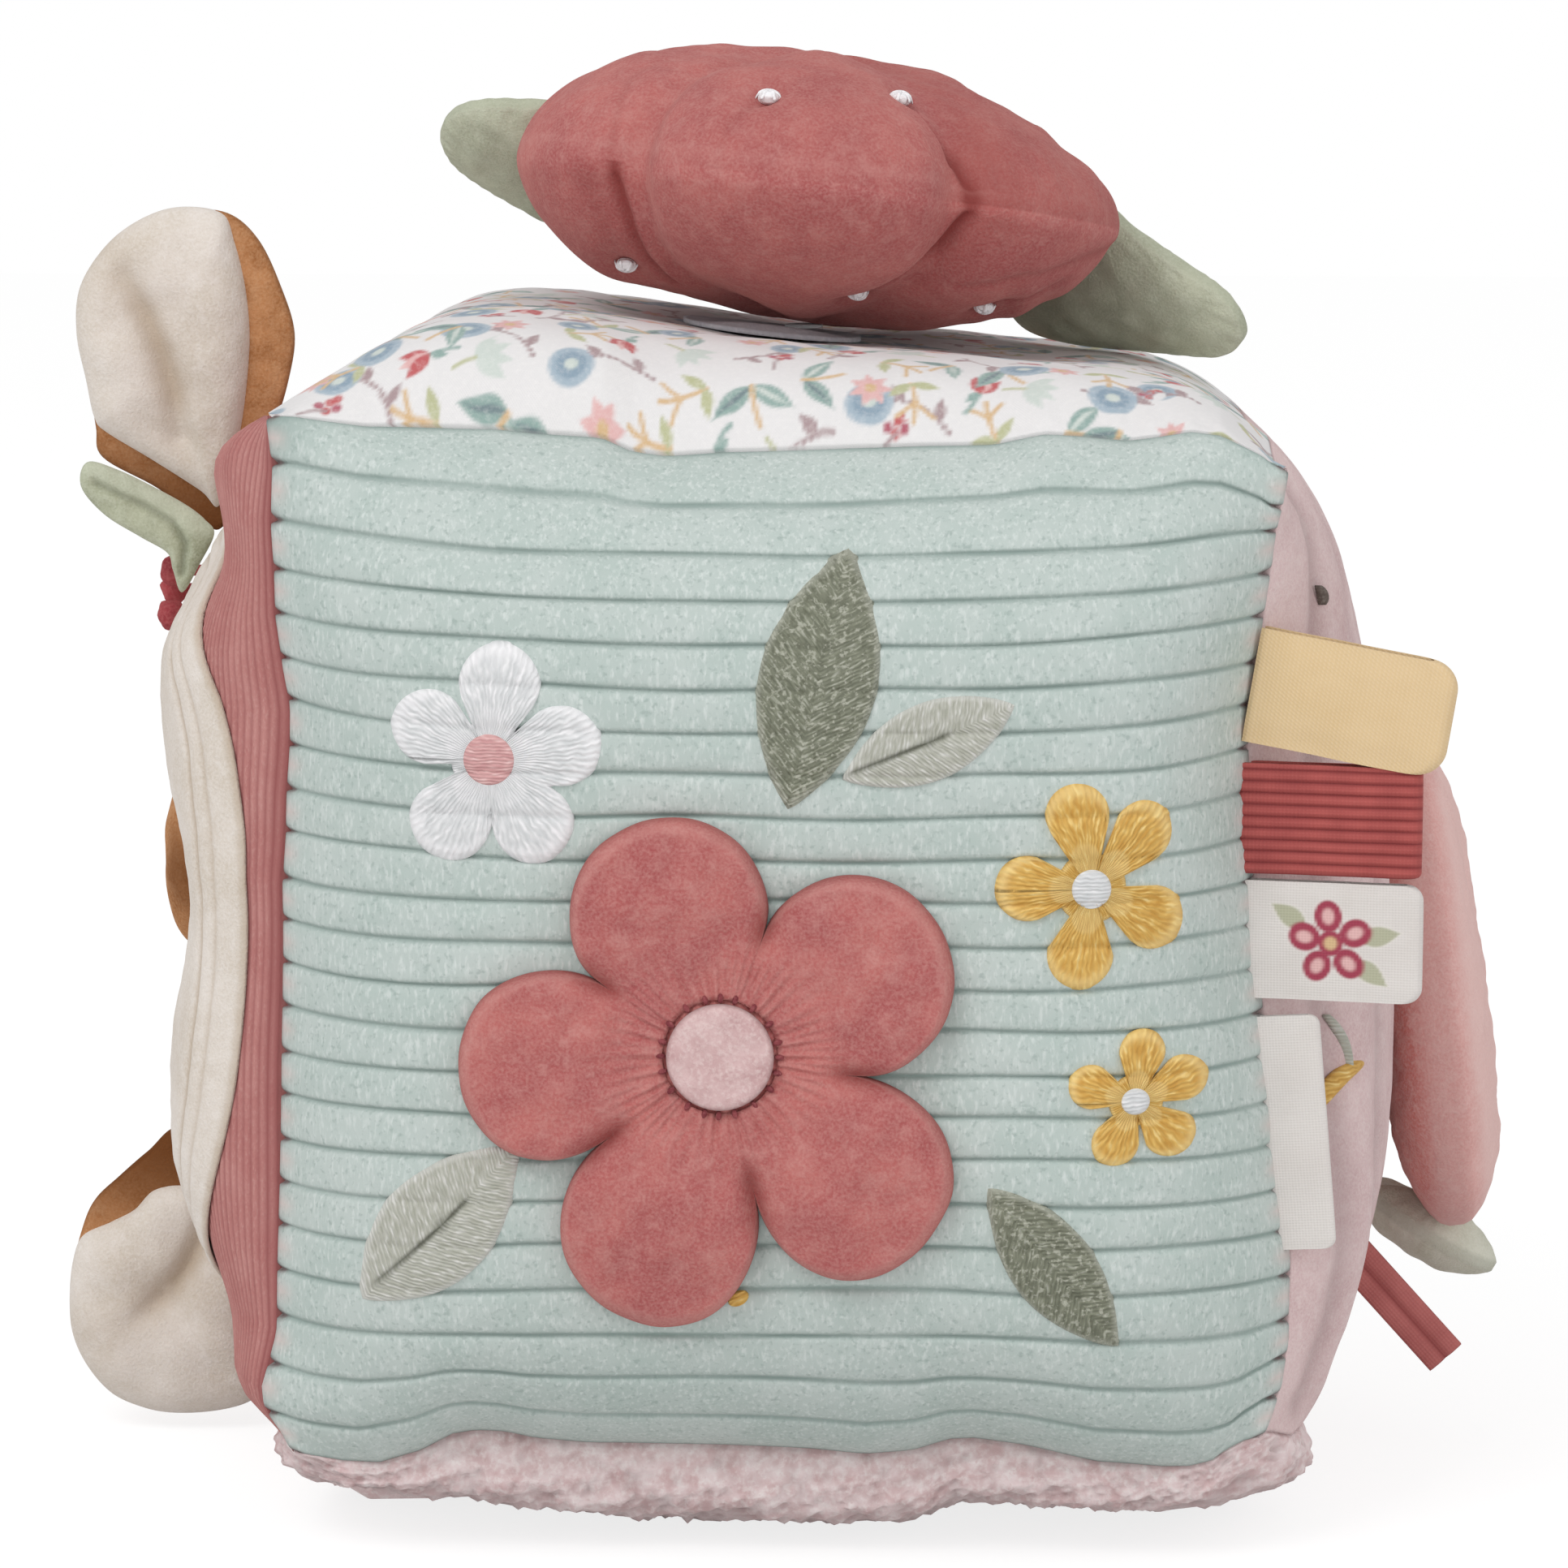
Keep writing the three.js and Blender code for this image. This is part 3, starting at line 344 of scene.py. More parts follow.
def pad(outline, middle, shares, heights, place):
    """A closed pad: an outline drawn in ring by ring to its middle. heights gives its low and high sides."""
    outline = np.asarray(outline, float)
    middle = np.asarray(middle, float)
    shares = np.asarray(shares, float)
    count = len(outline)
    rings = middle + shares[:, None, None] * (outline[None] - middle)
    spot = np.concatenate([middle[None], rings.reshape(-1, 2)])
    share = np.concatenate([[0.0], np.repeat(shares, count)])
    x, y = spot.T
    low, high = (np.broadcast_to(h, x.shape).astype(float) for h in heights(share, x, y))
    side = len(spot)
    points = np.concatenate([place(x, y, high), place(x, y, low)])
    first = 1 + np.arange(count)
    second = 1 + (np.arange(count) + 1) % count
    fan = np.stack([np.zeros(count, int), first, second], -1)
    quads = quads_of_grid(len(shares), count, 1, closed=True)[:, [0, 3, 2, 1]]
    last = (len(shares) - 1) * count
    wall = np.stack([first + last, first + last + side, second + last + side, second + last], -1)
    faces = [fan, side + fan[:, ::-1], quads, (side + quads)[:, ::-1], wall]
    return Pad(points, faces, np.tile(x, 2), np.tile(y, 2), np.tile(share, 2))


def ball(middle, radius, across, up, lumps, seed, flat_share=1.0):
    """A closed ball, a little lumpy."""
    turn = np.linspace(0, 2 * np.pi, across, endpoint=False)
    rise = np.linspace(-np.pi / 2, np.pi / 2, up + 1)[1:-1]
    t, r = np.meshgrid(turn, rise)
    unit = np.stack([np.cos(r) * np.cos(t), np.cos(r) * np.sin(t), np.sin(r)], -1)
    scale = radius * (1 + lumps * ripple(seed, 0.9, *np.moveaxis(unit, -1, 0)))[..., None]
    squash = np.array([1.0, 1.0, flat_share])
    ends = radius * squash * np.array([[0.0, 0.0, -1.0], [0.0, 0.0, 1.0]])
    points = np.concatenate([(unit * scale * squash).reshape(-1, 3), ends]) + middle
    n = across * (up - 1)
    first = np.arange(across)
    second = (first + 1) % across
    low = np.stack([np.full(across, n), second, first], -1)
    high = np.stack([np.full(across, n + 1), n - across + first, n - across + second], -1)
    return points, [quads_of_grid(up - 1, across, 0, closed=True), low, high]


def tube(points):
    """A closed tube through rings of points."""
    rows, columns = points.shape[:2]
    end = np.arange(columns)
    caps = [end[None, ::-1], (end + (rows - 1) * columns)[None]]
    return points.reshape(-1, 3), [quads_of_grid(rows, columns, closed=True), *caps]


def flipped(faces):
    return [np.asarray(f)[:, ::-1] for f in faces]


def joined(parts):
    """Several bodies as one mesh."""
    points, faces, start = [], [], 0
    for p, f, *_ in parts:
        points.append(p)
        faces += [start + np.asarray(x) for x in f]
        start += len(p)
    return np.concatenate(points), faces


def piece(name, mesh, look, body="block", between=None, replaces=(), marks=None, threads=None, colours=None,
          fill=None):
    """One object of the scene. Its points come in millimetres from the block's middle."""
    slot, material = LOOKS[look]
    points, faces = mesh[0], mesh[1]
    data = bpy.data.meshes.new(name)
    placed = (points + np.array([0, 0, CENTRE_Z])) * METRES
    data.from_pydata(placed.tolist(), [], [f for part in faces for f in np.asarray(part).tolist()])
    data.polygons.foreach_set("use_smooth", np.ones(len(data.polygons), bool))
    for mark, values in (marks or {}).items():
        layer = data.attributes.new(mark, "FLOAT", "POINT")
        layer.data.foreach_set("value", np.asarray(values, np.float32))
    if colours is not None:
        layer = data.attributes.new("print", "FLOAT_COLOR", "POINT")
        rgba = np.concatenate([colours, np.ones((len(colours), 1))], 1).astype(np.float32)
        layer.data.foreach_set("color", rgba.ravel())
    if threads is not None:
        corner = np.zeros(len(data.loops), np.int32)
        data.loops.foreach_get("vertex_index", corner)
        layer = data.uv_layers.new(name="threads")
        layer.data.foreach_set("uv", np.asarray(threads, np.float32)[corner].ravel())
    data.materials.append(material)
    data.update()
    made = bpy.data.objects.new(name, data)
    bpy.context.scene.collection.objects.link(made)
    if between:
        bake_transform(made)
    else:
        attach(made, body)
    if replaces:
        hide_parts(*replaces)
    return made


def sewn_at(body, root, way, inside, outside, parent="block"):
    """Where a piece gives between two bodies, from inside the seam at its root to outside it."""
    return parent, body, root - inside * way, root + outside * way


# Materials. Sizes of noise and depths of bump are millimetres, and colours are as seen, from 0 to 255.
def linear(colour):
    """A colour as the shader takes it."""
    c = np.asarray(colour, float) / 255
    return np.where(c <= 0.04045, c / 12.92, ((c + 0.055) / 1.055) ** 2.4)


def darker(share, colour):
    return tuple(share * c for c in colour)


WHITE = (255, 255, 255)


class Look:
    """A material that is put together socket by socket."""

    def __init__(self, name, roughness, sheen=0.0, specular=0.3, sheen_colour=WHITE, sheen_roughness=0.5):
        self.material = bpy.data.materials.new(name)
        self.material.use_nodes = True
        self.tree = self.material.node_tree
        self.tree.nodes.clear()
        self.shader = self.tree.nodes.new("ShaderNodeBsdfPrincipled")
        end = self.tree.nodes.new("ShaderNodeOutputMaterial")
        self.tree.links.new(self.shader.outputs[0], end.inputs["Surface"])
        self.shader.inputs["Roughness"].default_value = roughness
        self.shader.inputs["Sheen Weight"].default_value = sheen
        self.shader.inputs["Sheen Roughness"].default_value = sheen_roughness
        self.shader.inputs["Sheen Tint"].default_value = (*linear(sheen_colour), 1)
        self.shader.inputs["Specular IOR Level"].default_value = specular
        self.where = self.node("ShaderNodeTexCoord").outputs["Object"]

    def node(self, kind, inputs=None, **settings):
        made = self.tree.nodes.new(kind)
        for key, value in settings.items():
            setattr(made, key, value)
        for key, value in (inputs or {}).items():
            if isinstance(value, bpy.types.NodeSocket):
                self.tree.links.new(value, made.inputs[key])
            else:
                made.inputs[key].default_value = value
        return made

    def noise(self, size, detail=2.0, vector=None, stretch=(1, 1, 1)):
        """Noise with bumps of that size, which a stretch of 2 makes half as long."""
        if vector is None:
            scale = tuple(s / size / METRES for s in stretch)
            vector = self.node("ShaderNodeMapping", {"Vector": self.where, "Scale": scale}).outputs[0]
        return self.node("ShaderNodeTexNoise", {
            "Vector": vector, "Scale": 1.0, "Detail": detail, "Roughness": 0.55,
        }).outputs["Fac"]

    def band(self, value, low, high, to_low=0.0, to_high=1.0):
        return self.node("ShaderNodeMapRange", {
            "Value": value, "From Min": low, "From Max": high, "To Min": to_low, "To Max": to_high,
        }, clamp=True).outputs[0]

    def mark(self, name, output="Fac"):
        return self.node("ShaderNodeAttribute", attribute_name=name).outputs[output]

    def math(self, operation, a, b=0.0):
        return self.node("ShaderNodeMath", {0: a, 1: b}, operation=operation).outputs[0]

    def times(self, a, b):
        return self.math("MULTIPLY", a, b)

    def wave(self, value, pitch):
        """A wave from -1 to 1 that comes back after each pitch."""
        return self.math("SINE", self.times(value, 2 * math.pi / pitch))

    def threads(self):
        """The places along and across the threads, from the threads map."""
        uv = self.node("ShaderNodeUVMap", uv_map="threads").outputs[0]
        split = self.node("ShaderNodeSeparateXYZ", {0: uv})
        return split.outputs[0], split.outputs[1]

    def mix(self, share, a, b):
        made = self.tree.nodes.new("ShaderNodeMix")
        made.data_type = "RGBA"
        for index, value in ((0, share), (6, a), (7, b)):
            if isinstance(value, bpy.types.NodeSocket):
                self.tree.links.new(value, made.inputs[index])
            elif index == 0:
                made.inputs[index].default_value = value
            else:
                made.inputs[index].default_value = (*linear(value), 1)
        return made.outputs[2]

    def speckled(self, base, colour, size, low, high, amount=1.0, detail=2.0, least=0.0, stretch=(1, 1, 1)):
        """Another colour where noise of that size is high."""
        share = self.band(self.noise(size, detail, stretch=stretch), low, high, least, amount)
        return self.mix(share, base, colour)

    def bump(self, height, depth, strength=1.0, under=None):
        """Bump of that depth, over another bump."""
        inputs = {"Height": height, "Distance": depth * METRES, "Strength": strength}
        if under is not None:
            inputs["Normal"] = under
        return self.node("ShaderNodeBump", inputs).outputs[0]

    def finish(self, colour, normal):
        self.tree.links.new(colour, self.shader.inputs["Base Color"])
        self.tree.links.new(normal, self.shader.inputs["Normal"])
        return self.material


NAP_SIZE = 2.2
NAP_DEPTH = 0.25
STREAK_SIZE = 2.6
PILE_DEPTH = 0.22


def velour(name, colour, light, deep, sheen=0.35, patch_size=11.0, pile=0.45, fold=None):
    """Short pile fabric, brushed lighter and darker in patches."""
    look = Look(name, 0.92, sheen, 0.15, light, 0.45)
    base = look.speckled(deep, colour, patch_size, 0.38, 0.64, detail=3.0)
    streaks = look.band(look.noise(STREAK_SIZE, 3.0), 0.5, 0.72)
    base = look.mix(look.times(streaks, 0.32), base, light)
    base = look.speckled(base, light, pile, 0.35, 0.7, 0.42)
    base = look.speckled(base, deep, pile * 1.7, 0.55, 0.75, 0.3)
    # Painted light: the shade mark paints shade in creases, folds and under parts in the fold colour, and the
    # shine mark paints highlights in the light colour.
    base = look.mix(look.mark("shade"), base, fold or darker(0.72, deep))
    base = look.mix(look.mark("shine"), base, light)
    coarse = look.bump(look.noise(NAP_SIZE), NAP_DEPTH, 0.5)
    return look.finish(base, look.bump(look.noise(pile), PILE_DEPTH, 0.7, coarse))


CORD_PATCH = 9.0
CORD_PILE_DEPTH = 0.18


def corduroy(name, colour, light, deep, groove, notch, stretch, dots, end=None, worn=0.75):
    look = Look(name, 0.95, 0.12, 0.15, light, 0.5)
    base = look.speckled(deep, colour, CORD_PATCH, 0.35, 0.65, detail=3.0)
    base = look.speckled(base, light, dots, 0.5, 0.72, worn, stretch=stretch)
    base = look.speckled(base, groove, dots * 1.5, 0.56, 0.72, 0.7 * worn)
    # Painted shade: the groove mark darkens the grooves, one top corner and the side by a seam, and the notch
    # mark darkens the wale ends at the seams.
    base = look.mix(look.mark("groove"), base, groove)
    base = look.mix(look.mark("notch"), base, notch)
    if end:
        base = look.mix(look.mark("blush"), base, end)
    return look.finish(base, look.bump(look.noise(dots, stretch=stretch), CORD_PILE_DEPTH, 0.6))


THREAD_WANDER = 0.9
WANDER_SIZE = 2.5
THREAD_DEPTH = 0.14
FLECK_SIZES = (0.75, 0.9)


def embroidered(name, colour, light, deep, pitch, vein=None, flecks=None):
    """Satin stitches side by side, a pitch apart."""
    look = Look(name, 0.55, 0.1, 0.35, light, 0.4)
    along, over = look.threads()
    wander = look.times(look.math("SUBTRACT", look.noise(WANDER_SIZE), 0.5), THREAD_WANDER)
    over = look.math("ADD", over, wander)
    ridge = look.band(look.wave(over, pitch), -1.0, 1.0)
    place = {0: look.times(along, 0.45), 1: look.times(over, 1 / pitch), 2: 0.0}
    tone = look.noise(1.0, 1.0, vector=look.node("ShaderNodeCombineXYZ", place).outputs[0])
    base = look.mix(look.band(tone, 0.35, 0.65), deep, colour)
    base = look.mix(look.band(tone, 0.58, 0.75, 0.0, 0.8), base, light)
    base = look.mix(look.band(ridge, 0.0, 0.5, 0.32, 0.0), base, darker(0.86, deep))
    base = look.mix(look.mark("rim"), base, light)
    if flecks:
        base = look.speckled(base, flecks[0], FLECK_SIZES[0], 0.54, 0.66, 0.75)
        base = look.speckled(base, flecks[1], FLECK_SIZES[1], 0.57, 0.68, 0.6)
    if vein:
        base = look.mix(look.mark("vein"), base, vein)
    return look.finish(base, look.bump(ridge, THREAD_DEPTH, 0.8))


FELT_PATCH = 3.5
FELT_DEPTH = 0.25
FUZZ = 0.6


def felt(name, colour, light, deep, fuzz=FUZZ):
    look = Look(name, 0.95, 0.2, 0.1, light, 0.5)
    base = look.speckled(deep, colour, FELT_PATCH, 0.35, 0.65, detail=3.0)
    base = look.speckled(base, light, fuzz, 0.45, 0.7, 0.6, 3.0)
    base = look.speckled(base, deep, fuzz * 0.8, 0.58, 0.75, 0.5)
    base = look.mix(look.mark("shade"), base, darker(0.75, deep))
    return look.finish(base, look.bump(look.noise(fuzz, 3.0), FELT_DEPTH, 0.7))


RIBBON_PATCH = 7.0
RIBBON_DEPTH = 0.08


def ribbon(name, colour, light, deep, pitch, twill=False, printed=False, weave_share=0.55):
    """Woven ribbon, with its threads a pitch apart."""
    look = Look(name, 0.7, 0.15, 0.3, light, 0.4)
    along, over = look.threads()
    warp = look.math("ADD", look.times(along, 0.6 if twill else 0.0), over)
    wave = look.wave(warp, pitch)
    weft = look.wave(along, pitch * 1.15)
    ridge = look.band(look.times(look.math("ADD", wave, weft), 0.5), -1.0, 1.0)
    base = look.speckled(deep, colour, RIBBON_PATCH, 0.3, 0.6, least=0.65)
    base = look.mix(look.band(ridge, 0.45, 1.0, 0.0, weave_share), base, light)
    # The groove mark paints shade in the valleys between ribs and along the fold of the tape.
    base = look.mix(look.mark("groove"), base, deep)
    if printed:
        base = look.mix(look.mark("inked"), base, look.mark("print", "Color"))
    return look.finish(base, look.bump(ridge, RIBBON_DEPTH, 0.7))


COTTON_PITCH = 0.42
COTTON_DEPTH = 0.05
WORN_SIZE = 0.8
CREASE_SIZE = 7.0
CREASE_DEPTH = 0.5


def cotton(name):
    """Plain woven cotton with a printed pattern."""
    look = Look(name, 0.85, 0.1, 0.25)
    weave_x, weave_y = (
        look.wave(look.node("ShaderNodeSeparateXYZ", {0: look.where}).outputs[way], COTTON_PITCH * METRES)
        for way in (0, 1)
    )
    weave = look.band(look.times(weave_x, weave_y), -1.0, 1.0)
    worn = look.band(look.noise(WORN_SIZE), 0.45, 0.75, 0.0, 0.16)
    base = look.mix(worn, look.mark("print", "Color"), (250, 247, 245))
    base = look.mix(look.band(weave, 0.0, 0.3, 0.09, 0.0), base, (190, 186, 186))
    creased = look.bump(look.noise(CREASE_SIZE), CREASE_DEPTH, 0.4)
    return look.finish(base, look.bump(weave, COTTON_DEPTH, 0.5, creased))


SCUFF_SIZE = 6.0
GRAIN_SIZE = 1.4
GRAIN_DEPTH = 0.03


def plastic(name, colour, scuffed):
    look = Look(name, 0.38, 0.0, 0.5)
    base = look.speckled(colour, scuffed, SCUFF_SIZE, 0.5, 0.75, 0.5, 4.0)
    return look.finish(base, look.bump(look.noise(GRAIN_SIZE, 3.0), GRAIN_DEPTH, 0.5))


# Each look with the slot it fills: colour, light and deep come first
LOOKS = {
    # The groove and notch colours of the two corduroys are painted shade.
    "mint": ("mint_corduroy", corduroy(
        "mint corduroy", (191, 201, 197), (212, 219, 216), (181, 194, 189), groove=(147, 163, 158),
        notch=(104, 82, 82), stretch=(1.0, 1.0, 0.35), dots=0.6, end=(214, 194, 190))),
    "coral_cord": ("coral_needlecord", corduroy(
        "coral needlecord", (195, 139, 134), (216, 176, 168), (183, 122, 118), groove=(150, 89, 88),
        notch=(112, 64, 67), stretch=(1.0, 1.0, 0.5), dots=0.4, worn=0.3)),
    # A velour's fold colour is the colour of its painted shade.
    "coral": ("coral_velour", velour(
        "coral velour", (184, 106, 102), (204, 152, 145), (166, 88, 88), fold=(132, 59, 56))),
    # The bud's copy of the coral velour is lighter and pinker: its own dusty pink, and painted light on a
    # side that faces away from the lamps.
    "bud": ("coral_velour", velour(
        "bud velour", (212, 130, 123), (232, 202, 197), (198, 110, 104), sheen=0.4)),
    "blush": ("blush_velour", velour(
        "blush velour", (218, 192, 192), (233, 218, 215), (200, 169, 170), sheen=0.3, patch_size=16.0)),
    "cream": ("cream_velour", velour(
        "cream velour", (225, 216, 207), (238, 232, 227), (210, 199, 186), sheen=0.3, patch_size=14.0,
        fold=(166, 141, 110))),
    "camel": ("camel_velour", velour(
        "camel velour", (188, 132, 88), (212, 166, 126), (158, 104, 62), sheen=0.2, patch_size=6.0,
        fold=(106, 62, 30))),
    "sage": ("sage_velour", velour(
        "sage velour", (182, 186, 161), (208, 212, 193), (152, 156, 131), sheen=0.25, patch_size=9.0,
        pile=0.4)),
    "fleece": ("pink_fleece", felt(
        "pink fleece", (231, 213, 213), (244, 236, 234), (210, 179, 179), fuzz=1.1)),
    # The side leaf's sage velour, painted lighter to stand in for the light that the bud keeps off it.
    "sage_painted_lighter": ("sage_velour", velour(
        "sage velour painted lighter", (214, 214, 199), (226, 227, 215), (196, 197, 178), sheen=0.25, patch_size=9.0,
        pile=0.4)),
    "pale_felt": ("pink_felt", felt(
        "pale felt", (206, 206, 211), (222, 222, 226), (188, 189, 196), fuzz=0.9)),
    "felt": ("pink_felt", felt("pink felt", (214, 184, 183), (226, 206, 203), (196, 160, 160))),
    "berry": ("coral_velour", velour(
        "berry velour", (176, 78, 82), (200, 116, 116), (142, 52, 60), sheen=0.2)),
    "stitch": ("dark_thread", felt("stitch thread", (146, 76, 80), (172, 108, 108), (118, 56, 62), fuzz=0.5)),
    "grey": ("dark_thread", felt("grey thread", (118, 110, 104), (146, 140, 134), (94, 86, 82), fuzz=0.5)),
    "moss": ("moss_thread", embroidered(
        "moss thread", (138, 141, 122), (186, 187, 175), (110, 113, 96), pitch=0.7, vein=(97, 99, 84),
        flecks=((182, 183, 168), (94, 96, 78)))),
    "stone": ("stone_thread", embroidered(
        "stone thread", (199, 199, 190), (222, 221, 217), (173, 174, 161), pitch=0.6, vein=(96, 98, 84))),
    "white": ("white_thread", embroidered(
        "white thread", (232, 232, 233), (244, 242, 244), (210, 212, 213), pitch=0.6)),
    "ochre": ("ochre_thread", embroidered(
        "ochre thread", (228, 187, 102), (244, 217, 150), (202, 152, 68), pitch=0.6)),
    "rose": ("pink_felt", embroidered(
        "rose thread", (226, 180, 178), (238, 206, 204), (204, 150, 150), pitch=0.5)),
    "dark": ("dark_thread", embroidered("dark thread", (86, 66, 58), (118, 96, 86), (58, 42, 36), pitch=0.5)),
    "butter": ("butter_twill", ribbon(
        "butter twill", (222, 194, 151), (232, 209, 175), (212, 181, 133), pitch=0.55, twill=True,
        weave_share=0.4)),
    "brick": ("brick_rib", ribbon(
        "brick ribbon", (178, 86, 82), (196, 110, 103), (124, 46, 48), pitch=0.5, weave_share=0.2)),
    "tape": ("brick_rib", ribbon(
        "red tape", (190, 110, 106), (206, 142, 137), (146, 68, 67), pitch=0.5, weave_share=0.2)),
    "satin": ("white_satin", ribbon(
        "white satin", (218, 212, 208), (229, 225, 221), (207, 199, 194), pitch=0.4, printed=True,
        weave_share=0.35)),
    "print": ("print_cotton", cotton("printed cotton")),
    "fill": ("fibre_fill", felt("fibre fill", (240, 238, 234), (250, 249, 247), (220, 217, 212), fuzz=1.6)),
}
PLASTIC = plastic("rattle plastic", (214, 219, 223), (232, 235, 238))
BALL = plastic("rattle ball", (200, 108, 106), (220, 150, 146))
for node, material in (("rattle_cup", PLASTIC), ("rattle_lid", PLASTIC), ("rattle_ball", BALL)):
    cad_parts[node].data.materials.clear()
    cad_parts[node].data.materials.append(material)


# Panels
SOLE_ABOVE = 0.2
INNER_SOLE = 7.0  # how high the stuffing and the inner skin are over the floor
ROLL_SHARE = 0.2  # how wide the rounded edge of the bottom is
ROLL_OUT = 4.2
ROLL_POWER = 8
FRONT_RISES = [
    (-1.0, 4.6), (-0.92, 5.2), (-0.8, 7.0), (-0.55, 4.8), (-0.4, 3.6), (-0.25, 2.8), (0.0, 2.3), (0.25, 2.6),
    (0.31, 4.2), (0.36, 6.0), (0.5, 5.7), (0.75, 5.0), (0.9, 5.0), (1.0, 5.4),
]
PANEL_FILL = 0.9
INNER_SHARES = np.array([1.0, 0.93, 0.8, 0.6, 0.35])


def sole_height(u, v):
    """How high the bottom's lowest skin is: its front edge doesn't lie on the floor all along."""
    return SOLE_ABOVE + offset_at(u, FRONT_RISES) * smooth(0.45, 0.8, v)


def rolled_bottom(u, v, lift):
    """The bottom, with an edge that rolls over the seams and down to the floor."""
    flat = face_points("bottom", u, v)
    free_u, free_v = 1 - np.abs(u) ** ROLL_POWER, 1 - np.abs(v) ** ROLL_POWER
    s = np.clip((1 - (1 - free_u * free_v) ** (1 / ROLL_POWER)) / ROLL_SHARE, 0, 1)
    flat[..., 2] = -(HALF[2] - SEAM_PULL * (2 - u * u - v * v))
    out_u = np.sign(u) * np.abs(u) ** (ROLL_POWER - 1) * free_v
    out_v = np.sign(v) * np.abs(v) ** (ROLL_POWER - 1) * free_u
    size = np.hypot(out_u, out_v) + 1e-4
    push = ROLL_SHARE * HALF[0] * s * (1 - s) + ROLL_OUT * np.sin(math.pi * s)
    push = push + lift * np.cos(math.pi / 2 * s)
    flat[..., 0] += push * out_u / size
    flat[..., 1] -= push * out_v / size
    rolled = sewn(flat)
    down = np.sin(math.pi / 2 * s) ** 0.9
    low = sole_height(u, v) - CENTRE_Z
    rolled[..., 2] = rolled[..., 2] * (1 - down) + (low - lift * down) * down
    rolled[..., 2] = np.maximum(rolled[..., 2], low)
    return rolled


def shell(name, face, us, vs, relief, look, printer=None):
    """A sewn panel: a fine outer skin, and an inner skin that is drawn in ring by ring."""
    u, v = np.meshgrid(us * EDGE_SHARE, vs * EDGE_SHARE)
    lift, shift_u, shift_v, marks = relief(u, v)
    if face == "bottom":
        outer = rolled_bottom(u, v, lift)
    else:
        outer = sewn(face_points(face, u + shift_u, v + shift_v, 0.0, lift))
    rows, columns = u.shape
    number = np.arange(rows * columns).reshape(rows, columns)
    rim = np.concatenate([number[0, :-1], number[:-1, -1], number[-1, :0:-1], number[:0:-1, 0]])
    rim_u, rim_v = (u + shift_u).ravel()[rim], (v + shift_v).ravel()[rim]
    inner = [sewn(face_points(face, s * rim_u, s * rim_v, CLOTH)) for s in INNER_SHARES]
    inner.append(face_points(face, np.zeros(1), np.zeros(1), CLOTH))
    if face == "bottom":
        inner = [np.maximum(ring, (-math.inf, -math.inf, INNER_SOLE - CENTRE_Z)) for ring in inner]
    points = np.concatenate([outer.reshape(-1, 3), *inner])
    count, start = len(rim), rows * columns
    after = (np.arange(count) + 1) % count
    walls = np.stack([rim, start + np.arange(count), start + after, rim[after]], -1)
    inner_faces = quads_of_grid(len(INNER_SHARES), count, start, closed=True)
    last = start + (len(INNER_SHARES) - 1) * count
    fan = np.stack([np.arange(count) + last, last + after, np.full(count, last + count)], -1)
    hidden = len(points) - start
    marks = {k: np.concatenate([m.ravel(), np.zeros(hidden)]) for k, m in marks.items()}
    colours = None
    if printer:
        paint = printer(u, v).reshape(-1, 3)
        colours = np.concatenate([paint, np.tile(paint[:1], (hidden, 1))])
    faces = [quads_of_grid(rows, columns), walls, np.roll(inner_faces, -1, 1), fan]
    return piece(name, (points, faces), look, replaces=[f"{face}_panel"], marks=marks, colours=colours,
                 fill=PANEL_FILL)


def stations(count, crowd=0.55):
    """Places from -1 to 1, closer together towards the seams."""
    s = np.linspace(-1, 1, count)
    return (1 - crowd) * s + crowd * np.sin(math.pi / 2 * s)


def off_seams(u, v, start_share):
    """1 on a face, and down to 0 at its seams from that share of the way to them."""
    return smooth(1.0, start_share, np.maximum(np.abs(u), np.abs(v)) / EDGE_SHARE)


WALES = 23
WALE_PITCH = 2 * HALF[2] / WALES
WALE_RISE = 0.4
GROOVE_DEPTH = 0.62
GROOVE_WIDTH = 0.4
CORNER_SHADE = 5.0
WALE_STEPS = np.array([0.0, 0.03, 0.06, 0.1, 0.17, 0.3, 0.5, 0.7, 0.83, 0.9, 0.94, 0.97])
# Unevenness of the cord and of the panel: size in shares of the half width, and height
CORD_RIPPLES = [(0.06, 0.13), (0.5, 0.2)]


def wale_phase(v):
    """The share of the way across a wale, and how far it is from a groove."""
    phase = (v / EDGE_SHARE + 1) / 2 * WALES % 1
    return phase, np.minimum(phase, 1 - phase)


def wale_profile(v):
    """Rise of the corduroy there and how much of a groove it is."""
    phase, from_groove = wale_phase(v)
    groove = bell(from_groove * WALE_PITCH, GROOVE_WIDTH)
    rise = WALE_RISE * np.sin(math.pi * phase) ** 0.6
    return rise - GROOVE_DEPTH * groove, groove


